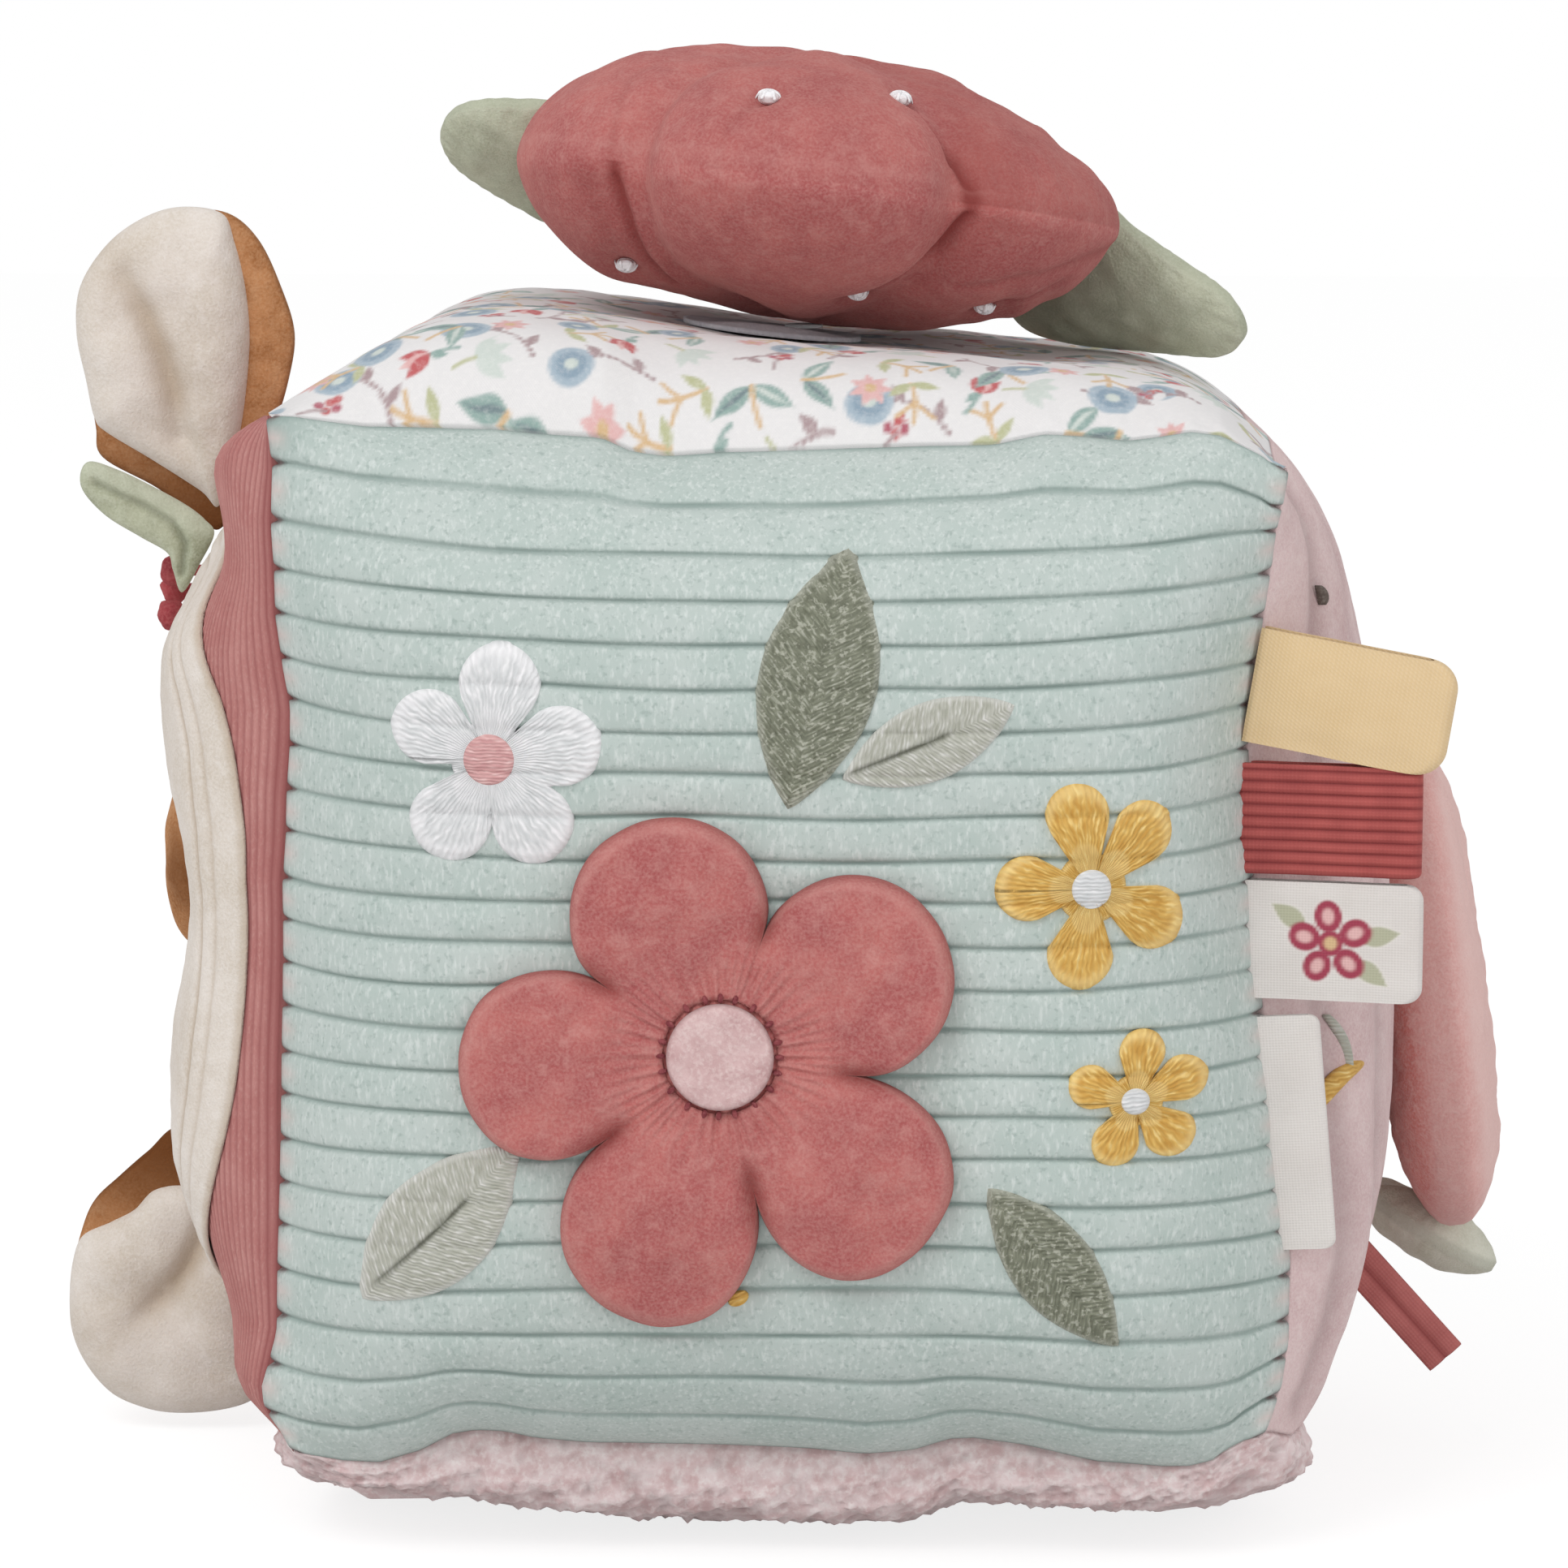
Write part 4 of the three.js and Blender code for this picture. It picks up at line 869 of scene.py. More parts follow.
def corduroy_relief(seed):
    def relief(u, v):
        lift, groove = wale_profile(v)
        _, from_groove = wale_phase(v)
        side = smooth(0.955, 0.997, np.abs(u))
        lift = lift * (1 + 0.9 * side * groove)
        for k, (size, height) in enumerate(CORD_RIPPLES):
            lift = lift + height * ripple(seed + k, size, u, v)
        wander = 0.0045 * ripple(seed + 2, 0.7, u, 4 * v) * (1 - np.abs(v) ** 8)
        scallop = np.sign(u) * side * (0.006 - 0.017 * groove)
        notch = smooth(0.975, 0.995, np.abs(u)) * bell(from_groove, 0.13)
        blush = smooth(0.955, 0.99, np.abs(u)) * smooth(0.2, 0.45, from_groove)
        corner = bell(np.hypot((u + 1) * HALF[0], (v - 1) * HALF[2]), CORNER_SHADE)
        worn = 0.75 + 0.25 * ripple(seed + 3, 0.3, u, v)
        # The groove mark is painted shade in the grooves and in one top corner, and the notch mark is painted
        # shade where the wales end at the side seams.
        marks = {"groove": np.clip(groove * worn + 0.9 * corner, 0, 1), "notch": notch, "blush": 0.7 * blush}
        return lift * (0.25 + 0.75 * off_seams(u, v, 0.985)), scallop, wander, marks
    return relief


wale_rows = np.concatenate([(np.arange(WALES)[:, None] + WALE_STEPS[None]).ravel(), [WALES]]) / WALES * 2 - 1
shell("front_corduroy", "front", stations(110), wale_rows, corduroy_relief(11), "mint")
shell("back_corduroy", "back", stations(80), wale_rows, corduroy_relief(31), "mint")

NEEDLE_WALES = 150
NEEDLE_RISE = 0.2
NEEDLE_RIPPLES = [(41, 0.7, 0.3)]


def needlecord_relief(u, v):
    phase = (u / EDGE_SHARE + 1) / 2 * NEEDLE_WALES % 1
    crest = 0.5 - 0.5 * np.cos(2 * math.pi * phase)
    lift = NEEDLE_RISE * crest + ripples(NEEDLE_RIPPLES, u, v)
    wander = 0.003 * ripple(42, 0.5, v, 2 * u)
    # The groove mark is painted shade between the wales, with some random tone, and a painted shadow beside
    # the seam with the front.
    shadow = smooth(0.965, 1.0, u) * 0.7
    dark = np.clip(0.65 * (1 - crest) ** 1.5 + 0.1 * ripple(43, 0.3, 6 * u, 0.6 * v) + shadow, 0, 1)
    return lift * off_seams(u, v, 0.985), wander, 0 * u, {"groove": dark}


shell("left_needlecord", "left", np.linspace(-1, 1, 4 * NEEDLE_WALES + 1), stations(60), needlecord_relief,
      "coral_cord")

# Soft folds of the right side: middle, slant and width in shares of its half sizes, and depth
RIGHT_FOLDS = [
    (-0.86, 0.05, 0.035, 1.1), (-0.72, 0.09, 0.05, -0.8), (-0.6, 0.02, 0.05, 0.9), (-0.42, -0.05, 0.07, -0.7),
    (-0.18, 0.1, 0.09, 0.6), (0.2, -0.08, 0.08, -0.6), (0.5, 0.06, 0.07, 0.7), (0.78, -0.04, 0.05, -0.8),
]
RIGHT_RIPPLES = [(51, 0.8, 0.5), (52, 0.12, 0.12)]
FOLD_SHADE = 0.35  # for each millimetre of depth


def folds_relief(u, v):
    lift = ripples(RIGHT_RIPPLES, u, v)
    shade = 0.0
    for middle, slant, width, depth in RIGHT_FOLDS:
        fold = bell(u - middle - slant * v - 0.02 * np.sin(4 * v + 9 * middle), width)
        lift = lift - depth * fold
        shade = shade + FOLD_SHADE * max(depth, 0) * fold
    outer_shine = off_seams(u, v, 0.93)
    return lift * outer_shine, 0 * u, 0 * u, {"shade": np.clip(shade * outer_shine, 0, 1)}


shell("right_velour", "right", stations(150), stations(110), folds_relief, "blush")

CURLS = [(61, 0.05, 0.55), (62, 0.028, 0.45), (63, 0.13, 0.3)]
CURL_SINK = 0.4


def fleece_relief(u, v):
    curl = ripples(CURLS, u, v)
    under = smooth(0.97, 0.84, np.maximum(np.abs(u), np.abs(v)))
    lift = (curl - CURL_SINK) * (0.3 + 0.7 * off_seams(u, v, 0.97))
    return lift, 0 * u, 0 * u, {"shade": np.clip(0.38 * under - 0.4 * curl, 0, 0.8)}


shell("bottom_fleece", "bottom", stations(170, 0.75), stations(170, 0.75), fleece_relief, "fleece")

# Print of the top: small flowers, buds, leaf pairs, twigs and dots on white
INKS = {
    "ground": (227, 225, 225), "teal": (146, 170, 164), "blue": (166, 182, 194), "steel": (140, 160, 176),
    "red": (192, 98, 100), "ochre": (212, 180, 138), "mauve": (170, 148, 150), "pale": (204, 212, 206),
    "rose": (222, 178, 176), "deep": (118, 134, 138), "berry": (176, 96, 110), "olive": (186, 188, 150),
    "wine": (160, 62, 82), "leaf": (178, 178, 154),
}
INK_EDGE = 0.32
INK_ROOM = 1.0  # how far past a shape its points are looked for
STEM_STEPS = 14


class Ink:
    """A printed layer on points with flat places x and y."""

    def __init__(self, x, y, ground):
        self.x, self.y = x.ravel(), y.ravel()
        self.colour = np.tile(linear(ground), (len(self.x), 1))
        self.inked = np.zeros(len(self.x))

    def lay(self, near, distance, ink):
        cover = smooth(INK_EDGE, -INK_EDGE, distance)[:, None]
        self.colour[near] = self.colour[near] * (1 - cover) + linear(INKS[ink]) * cover
        self.inked[near] = np.maximum(self.inked[near], cover[:, 0])

    def near(self, x, y, reach):
        reach = reach + INK_ROOM
        return np.nonzero((np.abs(self.x - x) < reach) & (np.abs(self.y - y) < reach))[0]

    def from_start(self, near, x, y, degrees):
        """How far along and across a direction the points are from x, y."""
        c, s = cos_sin(degrees)
        dx, dy = self.x[near] - x, self.y[near] - y
        return dx * c + dy * s, -dx * s + dy * c

    def oval(self, x, y, long, wide, degrees, ink):
        near = self.near(x, y, max(long, wide))
        a, b = self.from_start(near, x, y, degrees)
        self.lay(near, (np.hypot(a / long, b / wide) - 1) * min(long, wide), ink)

    def leaf(self, x, y, length, width, degrees, ink):
        """A pointed leaf that starts at x, y."""
        near = self.near(x, y, length)
        a, b = self.from_start(near, x, y, degrees)
        half = width / 2 * np.sin(math.pi * np.clip(a / length, 0, 1) ** 0.8)
        self.lay(near, np.maximum(np.abs(b) - half, np.maximum(-a, a - length)), ink)

    def leaves(self, x, y, length, width, directions, ink):
        for degrees in directions:
            self.leaf(x, y, length, width, degrees, ink)

    def stem(self, x, y, length, degrees, bend, width, ink):
        """A curved line. It returns its points with their directions."""
        spots, way, px, py = [], degrees, x, y
        for _ in range(STEM_STEPS):
            spots.append((px, py, way))
            c, s = cos_sin(way)
            px += length / STEM_STEPS * c
            py += length / STEM_STEPS * s
            way += bend / STEM_STEPS
        near = self.near(x, y, length)
        gap = np.min([np.hypot(self.x[near] - a, self.y[near] - b) for a, b, _ in spots], axis=0)
        self.lay(near, gap - width / 2, ink)
        return spots


# The small plants of the print. Each is drawn at a place, with its turn in degrees and its size.
def branch(ink, x, y, turn, size):
    spots = ink.stem(x, y, 17 * size, turn, 75, 1.0, "mauve")
    for i, (a, b, way) in enumerate(spots[2::3]):
        ink.leaf(a, b, 4.2 * size, 2.0 * size, way + (58 if i % 2 else -58), ("mauve", "ground")[i % 2])
    a, b, way = spots[-1]
    for long, wide, name in ((4.4, 3.9, "blue"), (3.0, 2.6, "steel"), (1.3, 1.1, "pale")):
        ink.oval(a, b, long * size, wide * size, way, name)


def pair(ink, x, y, turn, size):
    for length, width, degrees, name in (
        (8.4, 3.4, 52, "teal"), (8.4, 3.4, -52, "teal"), (7.4, 0.9, 52, "pale"), (7.4, 0.9, -52, "deep"),
    ):
        ink.leaf(x, y, length * size, width * size, turn + degrees, name)
    ink.stem(x, y, 7.5 * size, turn, 20, 0.9, "ochre")


def twig(ink, x, y, turn, size):
    spots = ink.stem(x, y, 9 * size, turn, -30, 0.9, "ochre")
    a, b, way = spots[STEM_STEPS // 2]
    for side in (-42, 42):
        ink.stem(a, b, 4.6 * size, way + side, side / 2, 0.8, "ochre")
    ink.leaves(x, y, 5.4 * size, 2.2 * size, (turn + 66, turn - 66), "olive")


def bud(ink, x, y, turn, size):
    ink.stem(x, y, 6 * size, turn + 180, -30, 0.8, "teal")
    for spread in (-26, 0, 26):
        ink.leaf(x, y, 6.0 * size, 2.9 * size, turn + spread, "red" if spread else "rose")
    ink.leaf(x, y, 3.6 * size, 2.0 * size, turn + 150, "teal")


def fan(ink, x, y, turn, size):
    ink.leaves(x, y, 6.4 * size, 2.6 * size, [turn + spread for spread in (-46, -16, 16, 46)], "pale")
    ink.stem(x, y, 4 * size, turn + 180, 20, 0.7, "olive")


def berries(ink, x, y, turn, size):
    for i, (dx, dy) in enumerate(((0, 0), (1.7, 0.6), (0.5, 1.8), (-1.3, 1.0), (1.6, 2.3))):
        ink.oval(x + dx * size, y + dy * size, 0.85 * size, 0.8 * size, 0, ("red", "berry")[i % 2])
    ink.stem(x, y, 5 * size, turn + 180, 30, 0.6, "mauve")


def daisy(ink, x, y, turn, size):
    ink.leaves(x, y, 3.8 * size, 1.9 * size, [turn + i * 360 / 7 for i in range(7)], "rose")
    ink.oval(x, y, 1.0 * size, 1.0 * size, 0, "ochre")


MOTIFS = (branch, twig, pair, berries, bud, pair, branch, fan, daisy, twig)
MOTIF_SPACING = 9.6
MOTIF_STRAY = 1.6
PRINT_OVER = 12.0  # how far the print goes past the block's half sizes


def printed_top(u, v):
    random = np.random.default_rng(7)
    reach = HALF[1] + PRINT_OVER
    ink = Ink(u * (HALF[0] + PRINT_OVER), v * reach, INKS["ground"])
    rows = int(2 * reach / MOTIF_SPACING)
    for j in range(rows + 1):
        for i in range(rows + 1):
            across = i - rows / 2 + 0.5 * (j % 2)
            x = across * MOTIF_SPACING + random.uniform(-MOTIF_STRAY, MOTIF_STRAY)
            y = (j - rows / 2) * MOTIF_SPACING + random.uniform(-MOTIF_STRAY, MOTIF_STRAY)
            motif = MOTIFS[((j * (rows + 1) + i) * 3 + j) % len(MOTIFS)]
            motif(ink, x, y, random.uniform(0, 360), random.uniform(0.8, 1.08))
    return ink.colour


TOP_RIPPLES = [(71, 0.5, 0.35), (72, 0.16, 0.1)]
TOP_GATHER = 0.3


def cotton_relief(u, v):
    gather = bell(1 - np.abs(v) / EDGE_SHARE, 0.06) * np.sin(70 * u + 3 * np.sin(9 * u))
    lift = ripples(TOP_RIPPLES, u, v) + TOP_GATHER * gather
    return lift * off_seams(u, v, 0.97), 0 * u, 0 * u, {}


PRINT_STEPS = 330
shell("top_cotton", "top", stations(PRINT_STEPS, 0.35), stations(PRINT_STEPS, 0.35), cotton_relief, "print",
      printer=printed_top)

# Stuffing: a closed fill with a round hollow for the rattle
RATTLE_HALF_HEIGHT = 12.0
RATTLE_RADIUS = 15.0
FILL_ROOM = 1.4
FILL_STEPS = 28


def fill_mesh():
    points, faces = [], []
    s = np.sin(math.pi / 2 * np.linspace(-1, 1, FILL_STEPS))
    for k, face in enumerate(FACES):
        u, v = np.meshgrid(s, s)
        points.append(sewn(face_points(face, u, v, CLOTH + FILL_ROOM)).reshape(-1, 3))
        faces.append(quads_of_grid(FILL_STEPS, FILL_STEPS, k * FILL_STEPS ** 2))
    points = np.concatenate(points)
    points[:, 2] = np.maximum(points[:, 2], INNER_SOLE + CLEARANCE - CENTRE_Z)
    merged, index = np.unique(np.round(points, 4), axis=0, return_inverse=True)
    return merged, [index.ravel()[f] for f in faces]


def hollow_heights(share, x, y):
    return -RATTLE_HALF_HEIGHT - CLEARANCE, RATTLE_HALF_HEIGHT + CLEARANCE


hollow = pad(ellipse(1.0, 1.0, 32) * (RATTLE_RADIUS + CLEARANCE), (0, 0), [0.5, 0.9, 1.0], hollow_heights,
             lambda x, y, h: np.stack([x, y, h], -1))
piece("stuffing", joined([fill_mesh(), (hollow.points, flipped(hollow.faces))]), "fill",
      replaces=["stuffing_core", "stuffing_plug"], fill=0.8)


# Sewn-on flower
FLOWER_X, FLOWER_Y = -7.7, -12.5
HUB_RADIUS = 9.6
HUB_LAP = 1.2
FELT_RADIUS = 7.8
HINGE_RADIUS = 14.3
HINGE_HEIGHT = 2.0
HINGE_BLEND = 2.5
FLOWER_FILL = 0.5
# Each petal: its direction, how far out the middle of its round end is, and that end's radius
PETALS = [(110, 21.9, 13.9), (31, 23.8, 13.0), (-43, 27.1, 13.4), (-110, 27.0, 13.6), (185.5, 25.4, 13.0)]
# Direction and reach of the notches after each petal
NOTCHES = [(70.5, 18.2), (-8.9, 19.6), (-76.7, 21.8), (-142.8, 21.0), (-210.7, 19.6)]
PETAL_LOW = 0.9
PETAL_EDGE = 0.3
PETAL_THICK = 3.0
PETAL_POWER = 2.25
PETAL_ROUND = 2.2  # how wide its rounded edge is
PETAL_CREASE = 1.7
PETAL_SHADE = 1.1
SWELL, SWELL_REACH, SWELL_WIDTH = 1.7, 25.0, 9.0
# Gathers by the hub: height, reach, width, how many, how they wander and how often
GATHERS = [(0.2, 10.5, 2.6, 29, 2, 7), (0.12, 13.0, 4.0, 61, 3, 5)]
WELT, WELT_IN, WELT_WIDTH = 0.05, 1.5, 0.9
SHINE_IN, SHINE_WIDTH = 1.3, 0.8
EDGE_SHADE = 0.35
EDGE_WAVER = 0.12
PETAL_WRINKLE = (90, 8.0, 0.35)
flower_place = lay_on("front", FLOWER_X, FLOWER_Y)


def petal_grid(i):
    """Angle and reach of each point, how far it is from the petal's edge and side, and s from -1 to 1."""
    degrees, reach, radius = PETALS[i]
    start, start_reach = NOTCHES[i]
    end, end_reach = NOTCHES[i - 1]
    end = end if i else end + 360
    s = np.sin(math.pi / 2 * np.linspace(-1, 1, 171))
    t = 1 - (1 - np.linspace(0, 1, 54)) ** 1.8
    s, t = np.meshgrid(s, t)
    angle = np.radians((start + end) / 2 + (end - start) / 2 * s)
    off = (angle - math.radians(degrees) + math.pi) % (2 * math.pi) - math.pi
    half_angle = np.radians(np.where(s < 0, degrees - start, end - degrees) % 360)
    notch_reach = np.where(s < 0, start_reach, end_reach)
    miss = np.clip(np.abs(np.sin(off)) / np.sin(half_angle), 0, 1)
    stretch = (np.clip(np.abs(off) / half_angle, 0, 1)) ** 5
    base = reach * np.cos(off) * (1 - stretch) + notch_reach * stretch
    edge = base + radius * (1 - miss ** PETAL_POWER) ** (1 / PETAL_POWER)
    edge = edge + EDGE_WAVER * ripple(80 + i, 0.8, off * 3) * (1 - np.abs(s) ** 4)
    inner = HUB_RADIUS - HUB_LAP
    r = inner + (edge - inner) * t
    from_side = np.minimum(angle - math.radians(start), math.radians(end) - angle) * r
    return angle, r, edge - r, from_side, s


def petal_mesh(i):
    angle, r, from_edge, from_side, s = petal_grid(i)
    x, y = r * np.cos(angle), r * np.sin(angle)
    rounded = np.sqrt(np.clip(1 - (1 - np.clip(from_edge / PETAL_ROUND, 0, 1)) ** 2, 0, 1))
    out_share = smooth(HINGE_RADIUS - PETAL_EDGE, 20.5, r)
    crease = 1 - 0.62 * out_share * bell(from_side, PETAL_CREASE)
    swell = SWELL * bell(r - SWELL_REACH, SWELL_WIDTH) * (1 - np.abs(s) ** 3)
    turn = np.arctan2(np.sin(angle), np.cos(angle))
    pucker, fine = (
        height * bell(r - out, width) * np.sin(count * turn + stray * np.sin(often * turn))
        for height, out, width, count, stray, often in GATHERS
    )
    welt = WELT * bell(from_edge - WELT_IN, WELT_WIDTH)
    full = PETAL_THICK + swell + pucker + fine + welt + ripples([PETAL_WRINKLE], x, y)
    high = PETAL_LOW + PETAL_EDGE + full * rounded * crease
    points, faces = closed_sheet(flower_place(x, y, high), flower_place(x, y, np.full_like(high, PETAL_LOW)))
    shade = 0.75 * out_share * bell(from_side, PETAL_SHADE) + 0.45 * bell(from_edge, EDGE_SHADE)
    shine = 0.3 * bell(from_edge - SHINE_IN, SHINE_WIDTH) + 0.9 * np.maximum(pucker, 0)
    under = np.full(shade.size, 0.6)
    return (points, flipped(faces)), {
        "shade": np.concatenate([np.clip(shade, 0, 1).ravel(), under]),
        "shine": np.concatenate([np.clip(shine, 0, 1).ravel(), 0 * under]),
    }


for i, (degrees, reach, radius) in enumerate(PETALS):
    mesh, marks = petal_mesh(i)
    way = in_xz(degrees)
    hinge = flower_place(*(HINGE_RADIUS * way[[0, 2]]), HINGE_HEIGHT)
    piece(f"appliqued_petal_{i + 1}", mesh, "coral", marks=marks, fill=FLOWER_FILL,
          between=sewn_at(f"petal_{i + 1}", hinge, way, HINGE_BLEND, HINGE_BLEND),
          replaces=[f"flower_petal_{i + 1}"])

HUB_EDGE = 0.6
HUB_OVER = 0.2
HUB_PUCKER = 0.3
FELT_LOW = 4.4
FELT_EDGE = 0.4
FELT_THICK = 1.15
FELT_RIPPLE = (95, 3.0, 0.14)


def hub_heights(share, x, y):
    angle = np.arctan2(y, x)
    pucker = HUB_PUCKER * smooth(0.3, 1.0, share) * np.sin(17 * angle + 2 * np.sin(3 * angle))
    return PETAL_LOW, PETAL_LOW + HUB_EDGE + (PETAL_THICK + HUB_OVER + pucker) * fullness(share, 5, 0.6)


def felt_heights(share, x, y):
    thickness = FELT_THICK + ripples([FELT_RIPPLE], x, y)
    return FELT_LOW, FELT_LOW + FELT_EDGE + thickness * fullness(share, 9, 0.5)


hub = pad(ellipse(HUB_RADIUS, HUB_RADIUS, 120), (0, 0), rings(14), hub_heights, flower_place)
piece("flower_hub_velour", hub, "coral", replaces=["flower_hub"], fill=FLOWER_FILL,
      marks={"shade": 0.35 * bell(hub.share - 0.97, 0.06)})
felt_disc = pad(ellipse(FELT_RADIUS, FELT_RADIUS, 96), (0, 0), rings(16), felt_heights, flower_place)
piece("flower_felt_disc", felt_disc, "felt", replaces=["flower_felt_centre"], fill=0.3,
      marks={"shade": 0.5 * bell(felt_disc.share - 1, 0.04)})

STITCHES = 20
STITCH_RING = 8.6
STITCH_HALF_LENGTH, STITCH_HALF_WIDTH = 0.7, 0.42
STITCH_LOW, STITCH_EDGE, STITCH_RISE = 4.2, 0.3, 0.4
stitches = []
for i in range(STITCHES):
    a = 360 * (i + 0.2 * math.sin(5 * i)) / STITCHES
    c, s = cos_sin(a)
    stitches.append(pad(
        ellipse(STITCH_HALF_LENGTH, STITCH_HALF_WIDTH, 12), (0, 0), [0.5, 0.8, 1.0],
        lambda share, x, y: (STITCH_LOW, STITCH_LOW + STITCH_EDGE + STITCH_RISE * fullness(share)),
        lay_on("front", FLOWER_X + STITCH_RING * c, FLOWER_Y + STITCH_RING * s, a)))
piece("flower_stitches", joined(stitches), "stitch")

# A last stitch that shows under the lowest petal
LAST_X, LAST_Y, LAST_DEGREES = 2.4, -35.4, 24
LAST_HALF_LENGTH, LAST_HALF_WIDTH = 1.6, 1.0
LAST_LOW, LAST_EDGE, LAST_RISE = 0.2, 0.3, 0.5
last = pad(ellipse(LAST_HALF_LENGTH, LAST_HALF_WIDTH, 24), (0, 0), rings(6),
           lambda share, x, y: (LAST_LOW, LAST_LOW + LAST_EDGE + LAST_RISE * fullness(share, 2, 0.5)),
           lay_on("front", FLOWER_X + LAST_X, FLOWER_Y + LAST_Y, LAST_DEGREES))
piece("ochre_stitch", last, "ochre", threads=np.stack([last.x, last.y], -1))

# Embroidery on the front, which follows the corduroy under it. A lobe has a direction, a reach and a radius.
WHITE_LOBES = [(82, 11.2, 6), (11, 10.7, 6), (-56, 11.3, 6), (-122, 10.8, 6), (153, 9.9, 5.6)]
LARGE_LOBES = [(101, 11.1, 4.7), (46, 11.4, 4.7), (-27, 10.4, 4.8), (-99, 10.2, 4.9), (180, 9.3, 4.8)]
SMALL_LOBES = [(82, 7.2, 3.3), (23, 7.2, 3.4), (-49, 6.9, 3.5), (-115, 6.9, 3.4), (160, 6.8, 3.3)]
# Each flower: name, looks of its petals and middle, place, radius of its middle, lobes
EMBROIDERED = [
    ("white_flower", "white", "rose", -41.2, 30.4, 4.0, WHITE_LOBES),
    ("yellow_flower_large", "ochre", "white", 45.9, 11.8, 3.1, LARGE_LOBES),
    ("yellow_flower_small", "ochre", "white", 52.3, -19.7, 2.1, SMALL_LOBES),
]
THREAD_LOW = -0.3
THREAD_EDGE = 0.25
THREAD_HIGH = 0.85
THREAD_RIM = 0.16
MIDDLE_OVER = 0.45
THREAD_TURN = 9.0  # reach at which the threads of a flower of full size lie a pitch apart
FULL_LOBE = 11.0


def stitched_heights(x0, y0, degrees, top, wale_share=0.55, dip=None):
    """Heights of an embroidered patch: it follows the wales and is rounded at its edge."""
    c, s = cos_sin(degrees)

    def heights(share, x, y):
        v = face_uv("front", x0 + x * c - y * s, y0 + x * s + y * c)[1]
        rise = wale_share * wale_profile(v)[0]
        dent = dip(x, y) if dip else 0.0
        edge_rise = THREAD_RIM * bell(share - 0.93, 0.05)
        full = (top - THREAD_LOW + rise - dent + edge_rise) * fullness(share, 8, 0.5)
        return THREAD_LOW, THREAD_LOW + THREAD_EDGE + full
    return heights


for name, look, middle_look, x0, y0, middle_radius, lobes in EMBROIDERED:
    flower = pad(lobed(lobes, 180), (0, 0), rings(26), stitched_heights(x0, y0, 0, THREAD_HIGH),
                 lay_on("front", x0, y0))
    turn = np.arctan2(flower.y, flower.x) * THREAD_TURN * lobes[0][1] / FULL_LOBE
    piece(f"{name}_stitched", flower, look, replaces=[name],
          threads=np.stack([np.hypot(flower.x, flower.y), turn], -1),
          marks={"rim": 0.5 * bell(flower.share - 0.93, 0.07) + 0.35 * (flower.share < 0.45)})
    middle = pad(ellipse(middle_radius, middle_radius, 48), (0, 0), rings(8),
                 stitched_heights(x0, y0, 0, THREAD_HIGH + MIDDLE_OVER), lay_on("front", x0, y0))
    piece(f"{name}_middle", middle, middle_look, replaces=[f"{name}_centre"],
          threads=np.stack([middle.x, middle.y], -1))

# Each leaf: look, place, direction, length, width, and how deep its vein is and where, in shares
LEAVES = {
    "moss_leaf_upper": ("moss", 6.3, 42.0, 77, 39.0, 17.5, 0.0, 0.0),
    "stone_leaf_upper": ("stone", 22.4, 33.2, 24, 27.5, 11.5, 0.85, -0.17),
    "stone_leaf_lower": ("stone", -48.6, -38.4, 47, 33.0, 15.5, 0.85, -0.12),
    "moss_leaf_lower": ("moss", 40.6, -43.5, -50, 30.0, 12.0, 0.0, 0.0),
}
SLANTS = {"moss": 0.8, "stone": 0.6}
LEAF_WALE_SHARE = 0.45
VEIN_WIDTH = 0.36
VEIN_DENT, DEEP_VEIN_DENT = 0.25, 0.35
for name, (look, x0, y0, degrees, length, width, vein_depth, vein_share) in LEAVES.items():
    def vein_at(x, y):
        from_middle = np.abs(x - vein_share * length)
        return bell(y + 0.03 * x, VEIN_WIDTH) * smooth(0.32 * length, 0.24 * length, from_middle)

    def vein_dent(x, y):
        return (VEIN_DENT + DEEP_VEIN_DENT * vein_depth) * vein_at(x, y)

    leaf = pad(lens(length, width, 60), (0, 0), rings(22),
               stitched_heights(x0, y0, degrees, THREAD_HIGH, LEAF_WALE_SHARE, vein_dent),
               lay_on("front", x0, y0, degrees))
    out = np.abs(leaf.y)
    piece(f"{name}_stitched", leaf, look, replaces=[name],
          threads=np.stack([leaf.x * 0.6 + out, leaf.x - SLANTS[look] * out], -1),
          marks={"vein": vein_depth * vein_at(leaf.x, leaf.y), "rim": 0.5 * smooth(0.86, 0.98, leaf.share)})

# Ribbon tabs, folded double and sewn into the right front seam
CORNER_OUT = np.array([1.0, -1.0, 0.0]) / math.sqrt(2)
TAB_STAND_OFF = 1.8
TAB_FORWARD = 12
TAB_BLEND_IN, TAB_BLEND_OUT = 1.0, 2.5
TUCK = 5.0  # how far the ends of a loop go into the seam
TAB_BULGE = 0.21
RIB_RISE = 0.4
TAB_WAVE, TAB_WAVE_SIZE = 0.25, 14.0
SPRIG_REACH_SHARE = 0.42
SPRIG_UP = -0.1
TABS = [
    dict(name="butter_tab", look="butter", y=36.6, reach=24.8, width=17.0, droop=9.5, ply=0.9, gap=1.9,
         corner=4.2),
    dict(name="brick_tab", look="brick", y=18.3, reach=22.6, width=16.4, droop=0, ply=1.0, gap=1.5,
         corner=0.9, ribs=9.5),
    dict(name="white_tab", look="satin", y=1.2, reach=23.2, width=17.6, droop=0, ply=0.6, gap=1.3,
         corner=2.4, rows=140, steps=64),
    dict(name="blank_label", look="satin", y=-26.4, reach=7.4, width=35.2, droop=-5, ply=0.4, gap=0.6,
         corner=1.6),
]


